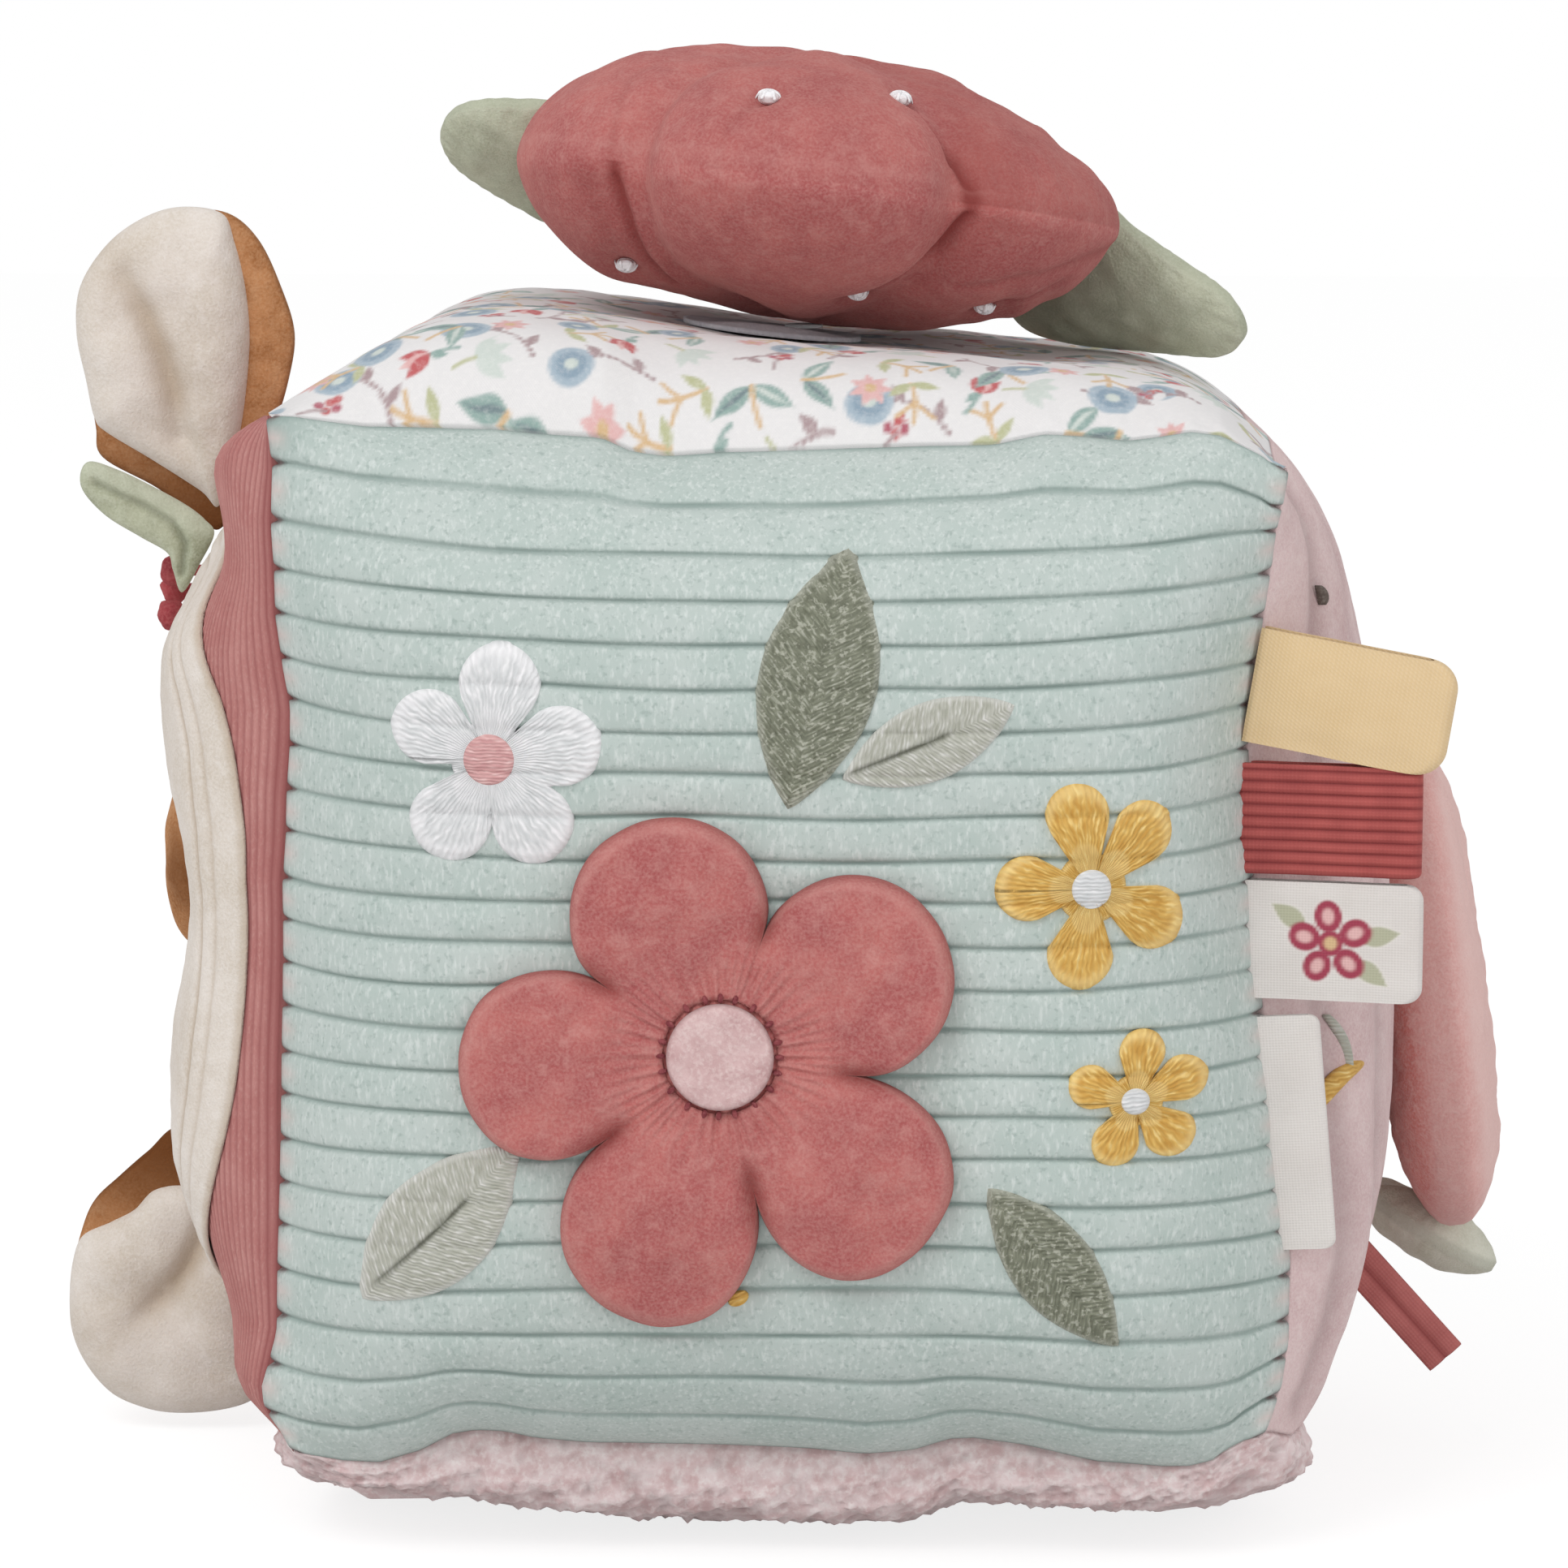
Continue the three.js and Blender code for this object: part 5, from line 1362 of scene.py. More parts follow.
def loop_path(reach, across_half, steps, turn_steps=14):
    """Half widths and reaches along a folded loop: in on one side, round the fold and out on the other."""
    bend = reach - across_half
    a = np.linspace(-math.pi / 2, math.pi / 2, turn_steps)
    straight = np.linspace(-TUCK, bend, steps)[:-1]
    side = np.full(steps - 1, across_half)
    x = np.concatenate([straight, bend + across_half * np.cos(a), straight[::-1]])
    return x, np.concatenate([-side, across_half * np.sin(a), side])


def rib_share(tab, z, power):
    return np.abs(np.sin(math.pi * (z / tab["width"] + 0.5) * tab["ribs"])) ** power


def tab_skin(tab, w, out):
    """One skin of a loop, row by row across its width, that far out from the gap in it."""
    width, reach, corner, half_gap = tab["width"], tab["reach"], tab["corner"], tab["gap"] / 2
    over = np.clip(np.abs(w) - (width / 2 - corner), 0, corner) / corner
    drawn = corner * (1 - np.sqrt(1 - over ** 2))
    ends = smooth(1.0, 0.0, over) * 0.25 + 0.75
    half = half_gap + out
    rows = []
    for z, back, end in zip(w, drawn, ends):
        x, y = loop_path(reach - back, half, tab.get("steps", 26))
        bulge = TAB_BULGE * np.sin(math.pi * np.clip(x / reach, 0, 1)) * math.cos(math.pi * z / width)
        y = np.sign(y) * (np.abs(y) + bulge)
        if out and "ribs" in tab:
            y = y + np.sign(y) * RIB_RISE * (rib_share(tab, z, 0.7) - 0.5) * np.abs(y) / half
        if out:
            y = y * end + np.sign(y) * (1 - end) * half_gap
        rows.append(np.stack([x, y, np.full_like(x, z)], -1))
    return np.array(rows)


def tab_mesh(tab):
    width = tab["width"]
    w = width / 2 * np.sin(math.pi / 2 * np.linspace(-1, 1, tab.get("rows", 72)))
    if "ribs" in tab:
        w = width / 2 * np.linspace(-1, 1, 115)
    outer, inner = tab_skin(tab, w, tab["ply"]), tab_skin(tab, w, 0)
    hinge = face_points("front", 1.0, tab["y"] / (HALF[2] - SEAM_PULL)) + CORNER_OUT * TAB_STAND_OFF
    c, s = cos_sin(-TAB_FORWARD)
    cd, sd = cos_sin(tab["droop"])
    spin = np.array([[c, -s, 0], [s, c, 0], [0, 0, 1]]) @ np.array([[cd, 0, sd], [0, 1, 0], [-sd, 0, cd]])
    for skin in (outer, inner):
        skin[..., 0] += width / 2 * abs(sd)
    wave = TAB_WAVE * ripple(len(tab["name"]), TAB_WAVE_SIZE, outer[..., 0], outer[..., 2])
    for skin in (outer, inner):
        skin[..., 1] += wave
    flat = np.concatenate([outer[..., [0, 2]].reshape(-1, 2)] * 2)
    front = np.concatenate([outer[..., 1].ravel(), np.zeros(inner[..., 0].size)]) < -tab["gap"] / 4
    return closed_sheet(hinge + outer @ spin.T, hinge + inner @ spin.T), flat, front, hinge, spin[:, 0]


def sprig(ink, x, y):
    """A small printed flower with leaves."""
    for degrees in (148, 10, -36):
        c, s = cos_sin(degrees)
        ink.leaf(x + 4.2 * c, y + 4.2 * s, 6.4, 3.2, degrees, "leaf")
    for i in range(5):
        degrees = 96 + 72 * i
        c, s = cos_sin(degrees)
        ink.oval(x + 4.0 * c, y + 4.0 * s, 2.5, 2.2, degrees, "wine")
        ink.oval(x + 4.0 * c, y + 4.0 * s, 1.2, 0.9, degrees, "rose")
    ink.oval(x, y, 2.0, 2.0, 0, "wine")
    ink.oval(x, y, 1.0, 1.0, 0, "ochre")


for tab in TABS:
    mesh, flat, front, hinge, out = tab_mesh(tab)
    ink = Ink(flat[:, 0], flat[:, 1], (240, 234, 229))
    if tab["name"] == "white_tab":
        sprig(ink, tab["reach"] * SPRIG_REACH_SHARE, SPRIG_UP)
    # groove is painted shade in the valleys between the ribs.
    groove = 1 - rib_share(tab, flat[:, 1], 0.8) if "ribs" in tab else np.zeros(len(flat))
    made = piece(f"{tab['name']}_ribbon", mesh, tab["look"], replaces=[tab["name"]], threads=flat,
                 between=sewn_at(tab["name"], hinge, out, TAB_BLEND_IN, TAB_BLEND_OUT), colours=ink.colour,
                 marks={"groove": 0.85 * groove, "inked": ink.inked * front})


# Plush flower
PLUSH_X, PLUSH_Y = 1.2, -2.0
PLUSH_TILT = 7
PLUSH_LEAN = -5.5
PLUSH_RADIUS = 48.0
NOTCH_RADIUS = 43.0
TOP_HEIGHT = 21.7
UNDER_HEIGHT = 19.0
RIM = 2.0
SEAM_RISE = 0.2
FRONT_DEGREES = -94
PLUSH_PETALS = 5
BASE_THICKNESS = 0.7
SHANK_LENGTH = 0.5
PLUSH_FILL = 0.75
plush_foot = on_face("top", PLUSH_X, PLUSH_Y, BASE_THICKNESS + 3 * CLEARANCE)
plush_origin = plush_foot + np.array([0, 0, SHANK_LENGTH + CLEARANCE])
lean_cos, lean_sin = cos_sin(PLUSH_LEAN)
tilt_cos, tilt_sin = cos_sin(PLUSH_TILT)
lean = np.array([[1, 0, 0], [0, lean_cos, -lean_sin], [0, lean_sin, lean_cos]])
tilt = np.array([[tilt_cos, 0, tilt_sin], [0, 1, 0], [-tilt_sin, 0, tilt_cos]])
PLUSH_SPIN = lean @ tilt

# Knots of the plush flower: direction in degrees and share of the way to its edge
TOP_KNOTS = [(-102, 0.81), (-69, 0.69), (14, 0.6), (86, 0.6), (158, 0.6)]
UNDER_KNOTS = [(-147, 0.7), (-70, 0.53), (-28, 0.66), (50, 0.7), (120, 0.7)]
# Creases sewn into it, each from its edge inwards, with its depth and
# how far its outer side lies back from it in degrees
TOP_CREASES = [
    (3.4, 9, [(-54, 1.03), (-57, 0.94), (-63, 0.84), (-68, 0.71)]),
    (0.8, -9, [(-135, 1.03), (-139, 0.9), (-145, 0.78), (-147, 0.66)]),
    (0.9, 0, [(-102, 0.82), (-106, 0.92), (-108, 1.02)]),
    *((3.0, 0, [(degrees, 1.03), (degrees, 0.8), (degrees, 0.6)]) for degrees in (14, 86, 158)),
]
UNDER_CREASES = [
    (3.6, -9, [(-135, 1.03), (-135, 0.9), (-137, 0.75), (-141, 0.55)]),
    (3.6, 9, [(-54, 1.03), (-57, 0.9), (-64, 0.75), (-74, 0.55)]),
    (1.4, 4, [(-26, 0.72), (-20, 0.9)]),
    (1.8, 0, [(2, 1.0), (-9, 0.985), (-21, 0.95), (-36, 0.87), (-50, 0.78)]),
    (2.6, 0, [(14, 1.03), (20, 0.75), (30, 0.5)]),
    *((2.6, 0, [(degrees, 1.03), (degrees, 0.75), (degrees, 0.5)]) for degrees in (86, 158)),
]
DEEP_CREASE = 3.4
# Dimples round the knots of each skin: depth and width of the hollow, then of the dip round it
TOP_DIMPLE = (1.3, 2.6, 0.7, 6.0)
UNDER_DIMPLE = (1.5, 2.6, 0.6, 6.0)
PLUSH_WRINKLES = [(101, 16.0, 0.45), (102, 5.0, 0.15)]
GATHER_HEIGHT, GATHER_COUNT = 0.22, 60


def plush_place(x, y, h):
    return plush_origin + np.stack([x, y, np.broadcast_to(h, np.shape(x))], -1) @ PLUSH_SPIN.T


def notch_share(x, y):
    return (1 - np.cos(PLUSH_PETALS * (np.arctan2(y, x) - math.radians(FRONT_DEGREES)))) / 2


def plush_edge(x, y):
    """How far out the flower's edge is in the direction of x, y."""
    notch = notch_share(x, y)
    return PLUSH_RADIUS - (PLUSH_RADIUS - NOTCH_RADIUS) * (0.55 * notch ** 2 + 0.9 * notch ** 14)


def spot(degrees, share):
    way = np.array(cos_sin(degrees))
    return share * float(plush_edge(*way)) * way


def sewn_creases(creases, x, y):
    """How deep the creases are there, and how much of a dark line."""
    depth, line = 0.0, 0.0
    for deep, back, route in creases:
        drawn = min(1.0, deep / DEEP_CREASE)
        gap, along = line_gap(x, y, [spot(*place) for place in route])
        wide, _ = line_gap(x, y, [spot(degrees + back / 2, share) for degrees, share in route])
        ease = 1 - 0.7 * along
        valley = 0.62 * bell(gap, 0.9) + 0.42 * bell(wide, 4.0 if back else 2.8)
        depth = np.maximum(depth, deep * ease * valley)
        line = np.maximum(line, drawn * ease * (bell(gap, 0.8) + 0.25 * bell(wide, 3.5) * (back != 0)))
    return depth, np.clip(line, 0, 1)


def dimpled(height, knots, dimple, x, y):
    deep, narrow, shallow, broad = dimple
    for knot in knots:
        gap = np.hypot(x - spot(*knot)[0], y - spot(*knot)[1])
        height = height - deep * bell(gap, narrow) - shallow * bell(gap, broad)
    return height


def plush_heights(share, x, y):
    notch = notch_share(x, y)
    dome = fullness(share, 2.7, 0.55)
    full = 1 - 0.1 * notch * np.sin(math.pi * np.clip(share, 0, 1))
    sink = 1 - 0.2 * smooth(8.0, 44.0, x)
    sag = 1 + 0.2 * smooth(-6.0, -34.0, x) * smooth(-2.0, -16.0, y)
    sag = sag - 0.09 * bell(np.hypot((x + 26) / 12, y / 14), 1.0)
    folded = smooth(24.0, 34.0, x) * smooth(18.0, 0.0, y) * fullness(share, 5)
    folds = 0.4 * np.sin(0.82 * x + 0.1 * y) * folded
    drawn = smooth(0.0, 0.35, dome)
    over = TOP_HEIGHT * sink * dome * full + folds - sewn_creases(TOP_CREASES, x, y)[0] * drawn
    under = UNDER_HEIGHT * sag * fullness(share, 3, 0.65) * full + folds
    under = under - sewn_creases(UNDER_CREASES, x, y)[0] * drawn
    over = dimpled(over, TOP_KNOTS, TOP_DIMPLE, x, y)
    under = dimpled(under, UNDER_KNOTS, UNDER_DIMPLE, x, y)
    around = np.arctan2(y, x)
    gather = GATHER_HEIGHT * np.sin(GATHER_COUNT * around + 3 * np.sin(7 * around))
    gather = gather * bell(share - 0.95, 0.05)
    wrinkle = fullness(share, 6) * ripples(PLUSH_WRINKLES, x, y)
    middle = UNDER_HEIGHT + RIM / 2
    low = middle - SEAM_RISE - under * (middle - SEAM_RISE) / UNDER_HEIGHT - wrinkle * 0.5 - gather * 0.6
    return low, middle + SEAM_RISE + over + wrinkle + gather


def plush_outline(count):
    """The edge, with its points closer together at the notches."""
    t = np.linspace(0, 2 * np.pi, count, endpoint=False)
    notches = math.radians(FRONT_DEGREES) + math.pi / PLUSH_PETALS
    a = t - 0.7 / PLUSH_PETALS * np.sin(PLUSH_PETALS * (t - notches))
    out = plush_edge(np.cos(a), np.sin(a))
    return np.stack([out * np.cos(a), out * np.sin(a)], -1)


def plush_marks(mesh):
    above = np.arange(len(mesh.share)) < len(mesh.share) // 2
    lines = np.where(above, sewn_creases(TOP_CREASES, mesh.x, mesh.y)[1],
                     sewn_creases(UNDER_CREASES, mesh.x, mesh.y)[1])
    below = ~above * smooth(1.0, 0.985, mesh.share)
    turn = np.degrees(np.arctan2(mesh.y, mesh.x))
    right_petal = above * smooth(-62, -50, turn) * smooth(20, 0, turn)
    front_top = above * bell(turn + 85, 42)
    rim = bell(mesh.share - 0.993, 0.004) * above * smooth(-40, -60, turn)
    return {
        "shade": np.clip(0.8 * lines + 0.2 * below + 0.3 * right_petal + 0.14 * front_top, 0, 1),
        "shine": 0.14 * rim + 0.03 * above,
    }


PLUSH_SHARES = np.sin(math.pi / 2 * np.arange(1, 71) / 70)
plush = pad(plush_outline(420), (0, 0), PLUSH_SHARES, plush_heights, plush_place)
piece("plush_flower_velour", plush, "coral", body="plush_flower", replaces=["plush_flower"],
      marks=plush_marks(plush), fill=PLUSH_FILL)

KNOT_RADIUS, UNDER_KNOT_RADIUS = 1.75, 1.6
KNOT_STAND_OFF, UNDER_KNOT_STAND_OFF = 1.0, -0.9
KNOT_FLATNESS = 0.62
KNOT_LUMPS = 0.08
KNOT_THREAD = 0.3


def knot_mesh(x, y, z, radius, seed, up=1.0):
    """A wound knot: a flat ball crossed by three threads."""
    parts = [ball(np.zeros(3), radius, 18, 10, KNOT_LUMPS, seed, KNOT_FLATNESS)]
    s = np.linspace(-1.15, 1.15, 12)
    arch = 0.72 * np.sqrt(np.maximum(1.3 - s * s, 0)) - 0.18
    around = ellipse(KNOT_THREAD, KNOT_THREAD, 7)
    for k in range(3):
        cos_a, sin_a = cos_sin(60 * k + 20 * seed)
        line = radius * np.stack([s * cos_a, s * sin_a, up * arch], -1)
        side = np.array([-sin_a, cos_a, 0.0])
        parts.append(tube(line[:, None] + around[:, :1] * side + around[:, 1:] * Z))
    points, faces = joined(parts)
    return plush_origin + (points + np.array([x, y, z])) @ PLUSH_SPIN.T, faces


def plush_height_at(x, y, side):
    share = math.hypot(x, y) / float(plush_edge(x, y))
    low, high = plush_heights(np.array([share]), np.array([x]), np.array([y]))
    return float((low, high)[side][0])


def knot_threads(mesh):
    return dict(threads=mesh[0][:, :2], marks={"rim": np.ones(len(mesh[0]))})


for i, knot_place in enumerate(TOP_KNOTS):
    x, y = spot(*knot_place)
    knot = knot_mesh(x, y, plush_height_at(x, y, 1) + KNOT_STAND_OFF, KNOT_RADIUS, i)
    piece(f"knot_{i + 1}", knot, "white", body="plush_flower", replaces=[f"plush_knot_{i + 1}"],
          **knot_threads(knot))
knots_below = []
for i, knot_place in enumerate(UNDER_KNOTS):
    x, y = spot(*knot_place)
    z = plush_height_at(x, y, 0) + UNDER_KNOT_STAND_OFF
    knots_below.append(knot_mesh(x, y, z, UNDER_KNOT_RADIUS, i, -1.0))
under_knots = joined(knots_below)
piece("under_knots", under_knots, "white", body="plush_flower", **knot_threads(under_knots))

BASE_RADIUS = 14
BASE_LEFT = 5
BASE_LIFT = 1.4


def base_heights(share, x, y):
    lifted = np.clip(-0.16 * (y + 4), 0, BASE_LIFT) * smooth(1.0, 0.8, share) * smooth(-16.0, -4.0, x)
    return CLEARANCE, CLEARANCE + BASE_THICKNESS + lifted - 0.2 * smooth(6.0, 12.0, y)


base = pad(ellipse(BASE_RADIUS, BASE_RADIUS, 60), (0, 0), rings(14), base_heights,
           lay_on("top", PLUSH_X - BASE_LEFT, PLUSH_Y))
piece("plush_felt_base", base, "pale_felt", replaces=["plush_base_disc"], fill=0.3)

SHANK_RADIUS = 3.0
SHANK_GROOVE = 0.12
shank_z = np.linspace(0, SHANK_LENGTH, 7)[:, None]
shank_r = SHANK_RADIUS - SHANK_GROOVE * np.abs(np.sin(shank_z * 14))
shank_x, shank_y = ellipse(1.0, 1.0, 24).T
shank = tube(np.stack([shank_r * shank_x, shank_r * shank_y, np.repeat(shank_z, 24, 1)], -1) + plush_foot)
piece("wound_shank", shank, "white", replaces=["plush_thread_shank"], threads=shank[0][:, [0, 2]])


def pillow_heights(rim, thickness, power, roundness, fold=0.0, seed=1, length=20.0):
    """A stuffed piece that swells both ways from its seam, with a soft fold along it and gathers."""
    def heights(share, x, y):
        half = (rim + (thickness - rim) * fullness(share, power, roundness)) / 2
        dent = fold * bell(y - 0.1 * x, 2.2) * smooth(0.95, 0.5, share) * smooth(length, 0.3 * length, x)
        angle = np.arctan2(y, x - length / 2)
        gather = 0.14 * np.sin(24 * angle + seed) * bell(share - 0.9, 0.1)
        soft = 0.22 * ripple(seed, 6.0, x, y) * fullness(share, 6)
        welt = 0.25 * bell(share - 1, 0.04)
        return -half - soft - gather - welt, half + soft + gather + welt - dent
    return heights


PLUSH_LEAVES = [
    dict(
        name="plush_leaf_left", seam=166, way=176, slope=-7, roll=35, drop=-0.2, length=14.0, thick=7.5,
        middle=(5.0, 1.0), corners=[
            (-4.0, -13.0), (-1.0, -14.0), (3.0, -12.3), (9.8, -8.8), (14.3, -5.4), (16.3, -1.5), (16.8, 1.8),
            (16.2, 5.2), (13.8, 9.2), (9.0, 12.4), (3.0, 14.6), (-1.0, 15.8), (-4.0, 15.0), (-5.0, 1.0),
        ]),
    dict(
        name="plush_leaf_right", seam=10, way=-12, slope=21, roll=-48, drop=2.4, length=27.0, thick=8.0,
        middle=(8.0, 6.0), corners=[
            (-6.0, -7.5), (-2.0, -7.0), (3.8, -5.0), (13.0, -3.6), (21.0, -2.2), (25.6, 1.8), (25.8, 6.0),
            (23.4, 9.8), (19.0, 12.6), (10.0, 17.4), (1.0, 22.2), (-8.5, 25.0), (-13.0, 20.0), (-9.0, 8.0),
        ]),
]
LEAF_RIM = 1.0
LEAF_DENT = 0.3
LEAF_SEED = 7
LEAF_STAND_OFF = 0.8  # how far out of the flower's seam the hinge of a leaf is
LEAF_TUCK = 2.5
for leaf in PLUSH_LEAVES:
    cos_way, sin_way = cos_sin(leaf["way"])
    cos_slope, sin_slope = cos_sin(leaf["slope"])
    flat_way = np.array([cos_way, sin_way, 0.0])
    along = flat_way * cos_slope - Z * sin_slope
    out = turned(flat_way * sin_slope + Z * cos_slope, along, leaf["roll"])
    root = np.array([*cos_sin(leaf["seam"]), 0.0]) * (PLUSH_RADIUS + LEAF_STAND_OFF)
    root[2] = UNDER_HEIGHT + RIM / 2 - leaf["drop"]
    root, along, out = plush_origin + PLUSH_SPIN @ root, PLUSH_SPIN @ along, PLUSH_SPIN @ out
    mesh = pad(smooth_loop(leaf["corners"], 9), leaf["middle"], rings(24, 0.5),
               pillow_heights(LEAF_RIM, leaf["thick"], 2.5, 0.7, LEAF_DENT, LEAF_SEED, leaf["length"]),
               hinged(root - LEAF_TUCK * along, along, out))
    piece(f"{leaf['name']}_velour", mesh, "sage", replaces=[leaf["name"]], fill=0.6,
          between=sewn_at(leaf["name"], root, along, 1.5, 2.5, "plush_flower"),
          marks={"shade": 0.2 * bell(mesh.share - 1, 0.02),
                 "shine": 0.25 + 0.25 * bell(mesh.share - 0.965, 0.02)})

# Animal face on the left side
HEAD_X, HEAD_Y, HEAD_HALF_LENGTH, HEAD_HALF_HEIGHT = 12.0, -2.0, 55.0, 62.0
HEAD_LOW, HEAD_THICK, HEAD_EDGE = 0.5, 2.6, 0.5
HEAD_POWER = 3.2
HEAD_WRINKLES = [(111, 22.0, 0.35), (112, 6.0, 0.12)]
STITCH_LINE, INNER_STITCH_LINE = 0.93, 0.875
NOSE_X, NOSE_Y = 5.0, 2.0
CHEEK_X, CHEEK_Y = 30, 40


def head_heights(share, x, y):
    stitched = 0.4 * bell(share - STITCH_LINE, 0.011) + 0.45 * bell(share - INNER_STITCH_LINE, 0.012)
    gather = 0.16 * np.sin(90 * np.arctan2(y, x)) * bell(share - 0.97, 0.025)
    held = 0.5 * bell(np.hypot(x + HEAD_X - NOSE_X, 0.55 * (y - NOSE_Y)), 17.0)
    cheek = 0.9 * bell(np.hypot(0.6 * (x + HEAD_X - CHEEK_X), y - CHEEK_Y), 16.0)
    soft = ripples(HEAD_WRINKLES, x, y) * fullness(share, 6)
    high = HEAD_THICK * fullness(share, 5, 0.6) + soft - stitched + gather - held + cheek
    return HEAD_LOW, HEAD_LOW + HEAD_EDGE + high


head_rings = np.concatenate([np.linspace(0.05, 0.82, 24), np.linspace(0.835, 1.0, 34)])
head = pad(rounded_square(HEAD_HALF_LENGTH, HEAD_HALF_HEIGHT, HEAD_POWER, 220), (0, 0), head_rings,
           head_heights, lay_on("left", HEAD_X, HEAD_Y))
# The stitched lines are painted darker, as shade in their dents and as the tan of their stitches, and the
# edge of the head is painted shade.
stitch_mark = 0.6 * bell(head.share - STITCH_LINE, 0.006) + bell(head.share - INNER_STITCH_LINE, 0.007)
piece("head_velour", head, "cream", replaces=["head_patch"], fill=0.4,
      marks={"shade": np.clip(0.5 * stitch_mark + 0.45 * bell(head.share - 1, 0.008), 0, 1)})

EYE_X, EYE_Y = -9.0, 20.0
EYE_HALF_LENGTH, EYE_HALF_HEIGHT = 2.6, 3.4
EYE_LOW, EYE_EDGE, EYE_RISE = 2.3, 3.6, 1.0
for side, y in (("upper", EYE_Y), ("lower", -EYE_Y)):
    eye = pad(ellipse(EYE_HALF_LENGTH, EYE_HALF_HEIGHT, 72), (0, 0), rings(16),
              lambda share, x, y: (EYE_LOW, EYE_EDGE + EYE_RISE * fullness(share, 4, 0.6)),
              lay_on("left", EYE_X, y))
    piece(f"{side}_eye", eye, "dark", replaces=[f"eye_{side}"], threads=np.stack([eye.x, eye.y], -1))

NOSE_CORNERS = [(0.0, 16.0), (4.5, 9.7), (8.0, 2.3), (8.0, -4.5), (4.5, -10.8), (0.0, -15.4), (-4.5, -10.8),
                (-8.0, -4.5), (-8.0, 2.3), (-4.5, 9.7)]
NOSE_LOW, NOSE_EDGE, NOSE_RISE = 0.4, 2.5, 7.9
NOSE_WRINKLE = (116, 6.0, 0.2)


def nose_heights(share, x, y):
    soft = ripples([NOSE_WRINKLE], x, y) * fullness(share, 6)
    return NOSE_LOW, NOSE_EDGE + NOSE_RISE * fullness(share, 2.6, 0.6) + soft


nose = pad(smooth_loop(NOSE_CORNERS, 9), (0.0, -1.0), rings(20), nose_heights, lay_on("left", NOSE_X, NOSE_Y))
nose_dark = 0.75 * smooth(0.5, 5.5, nose.x) * bell(nose.y + 1.0, 9.0) + 0.4 * bell(nose.share - 1, 0.1)
piece("nose", nose, "camel", replaces=["nose_patch"], fill=0.5, marks={"shade": np.clip(nose_dark, 0, 1)})

# Ears. Their outlines and creases are shares of each ear's length and width, from its root.
EARS = [
    dict(
        name="ear_upper", root=(-98.0, 5.0, 55.0), way=90, length=49.5, width=35.0, middle_share=0.57,
        back_shares=[
            (-0.02, -0.18), (0.15, -0.29), (0.3, -0.41), (0.45, -0.48), (0.6, -0.51), (0.75, -0.45),
            (0.9, -0.35), (0.985, -0.21), (0.995, 0.0), (0.955, 0.17), (0.87, 0.33), (0.74, 0.45),
            (0.6, 0.47), (0.45, 0.43), (0.3, 0.4), (0.2, 0.37), (0.1, 0.12), (-0.01, -0.08),
        ],
        lining_shares=[
            (0.04, -0.16), (0.16, -0.22), (0.33, -0.28), (0.57, -0.315), (0.75, -0.3), (0.9, -0.25),
            (0.985, -0.19), (1.005, 0.0), (0.97, 0.17), (0.885, 0.335), (0.75, 0.46), (0.6, 0.48),
            (0.45, 0.44), (0.33, 0.405), (0.28, 0.35), (0.19, 0.14), (0.09, -0.08),
        ],
        crease_shares=[(0.9, 0.36), (0.78, 0.25), (0.66, 0.15), (0.54, 0.08), (0.42, 0.03), (0.28, 0.0)],
    ),
    dict(
        name="ear_lower", root=(-96.5, 4.0, -50.5), way=256, length=40.5, width=33.0, middle_share=0.5,
        back_shares=[
            (0.03, 0.04), (-0.13, -0.16), (-0.01, -0.28), (0.12, -0.39), (0.24, -0.48), (0.38, -0.505),
            (0.52, -0.5), (0.66, -0.47), (0.79, -0.42), (0.9, -0.32), (0.975, -0.18), (1.0, 0.0),
            (0.99, 0.15), (0.95, 0.32), (0.89, 0.47), (0.82, 0.52), (0.7, 0.49), (0.5, 0.39),
            (0.33, 0.27), (0.17, 0.165),
        ],
        lining_shares=[
            (0.07, 0.1), (0.07, -0.05), (0.12, -0.2), (0.22, -0.275), (0.29, -0.37), (0.38, -0.49),
            (0.5, -0.51), (0.66, -0.48), (0.79, -0.425), (0.9, -0.32), (0.985, -0.17), (1.01, 0.0),
            (1.0, 0.15), (0.955, 0.33), (0.89, 0.48), (0.82, 0.535), (0.68, 0.5), (0.49, 0.4),
            (0.32, 0.285), (0.16, 0.18),
        ],
        crease_shares=[(0.74, -0.26), (0.61, -0.1), (0.5, -0.01), (0.39, 0.05), (0.27, 0.08), (0.16, 0.1)],
    ),
]
BACK_LOW, BACK_SWELL, BACK_HIGH, BACK_ROLL = -1.2, 5.6, 0.2, 1.5
LINING_LOW, LINING_EDGE, LINING_RIM, LINING_SWELL = -0.4, 0.5, 1.5, 4.4
BACK_WRINKLE, LINING_WRINKLE = (121, 9.0, 0.3), (131, 10.0, 0.3)
EAR_FILL = 0.5


def ear_back_heights(share, x, y):
    soft = ripples([BACK_WRINKLE], x, y) * fullness(share, 6)
    roll = BACK_ROLL * fullness(share, 5, 0.6) * smooth(0.25, 0.8, share)
    return BACK_LOW - BACK_SWELL * fullness(share, 2.6, 0.8) - soft, BACK_HIGH + roll


def ear_lining_heights(crease):
    def heights(share, x, y):
        gap, along_share = line_gap(x, y, crease)
        ease = smooth(0.0, 0.4, along_share) * smooth(1.0, 0.7, share)
        valley = (1.9 * bell(gap, 1.9) + 2.0 * bell(gap, 6.0)) * ease
        soft = ripples([LINING_WRINKLE], x, y) * fullness(share, 6)
        full = LINING_RIM * fullness(share, 12, 0.5) + LINING_SWELL * fullness(share, 3.2, 0.75)
        return LINING_LOW, LINING_EDGE + full + soft - valley
    return heights


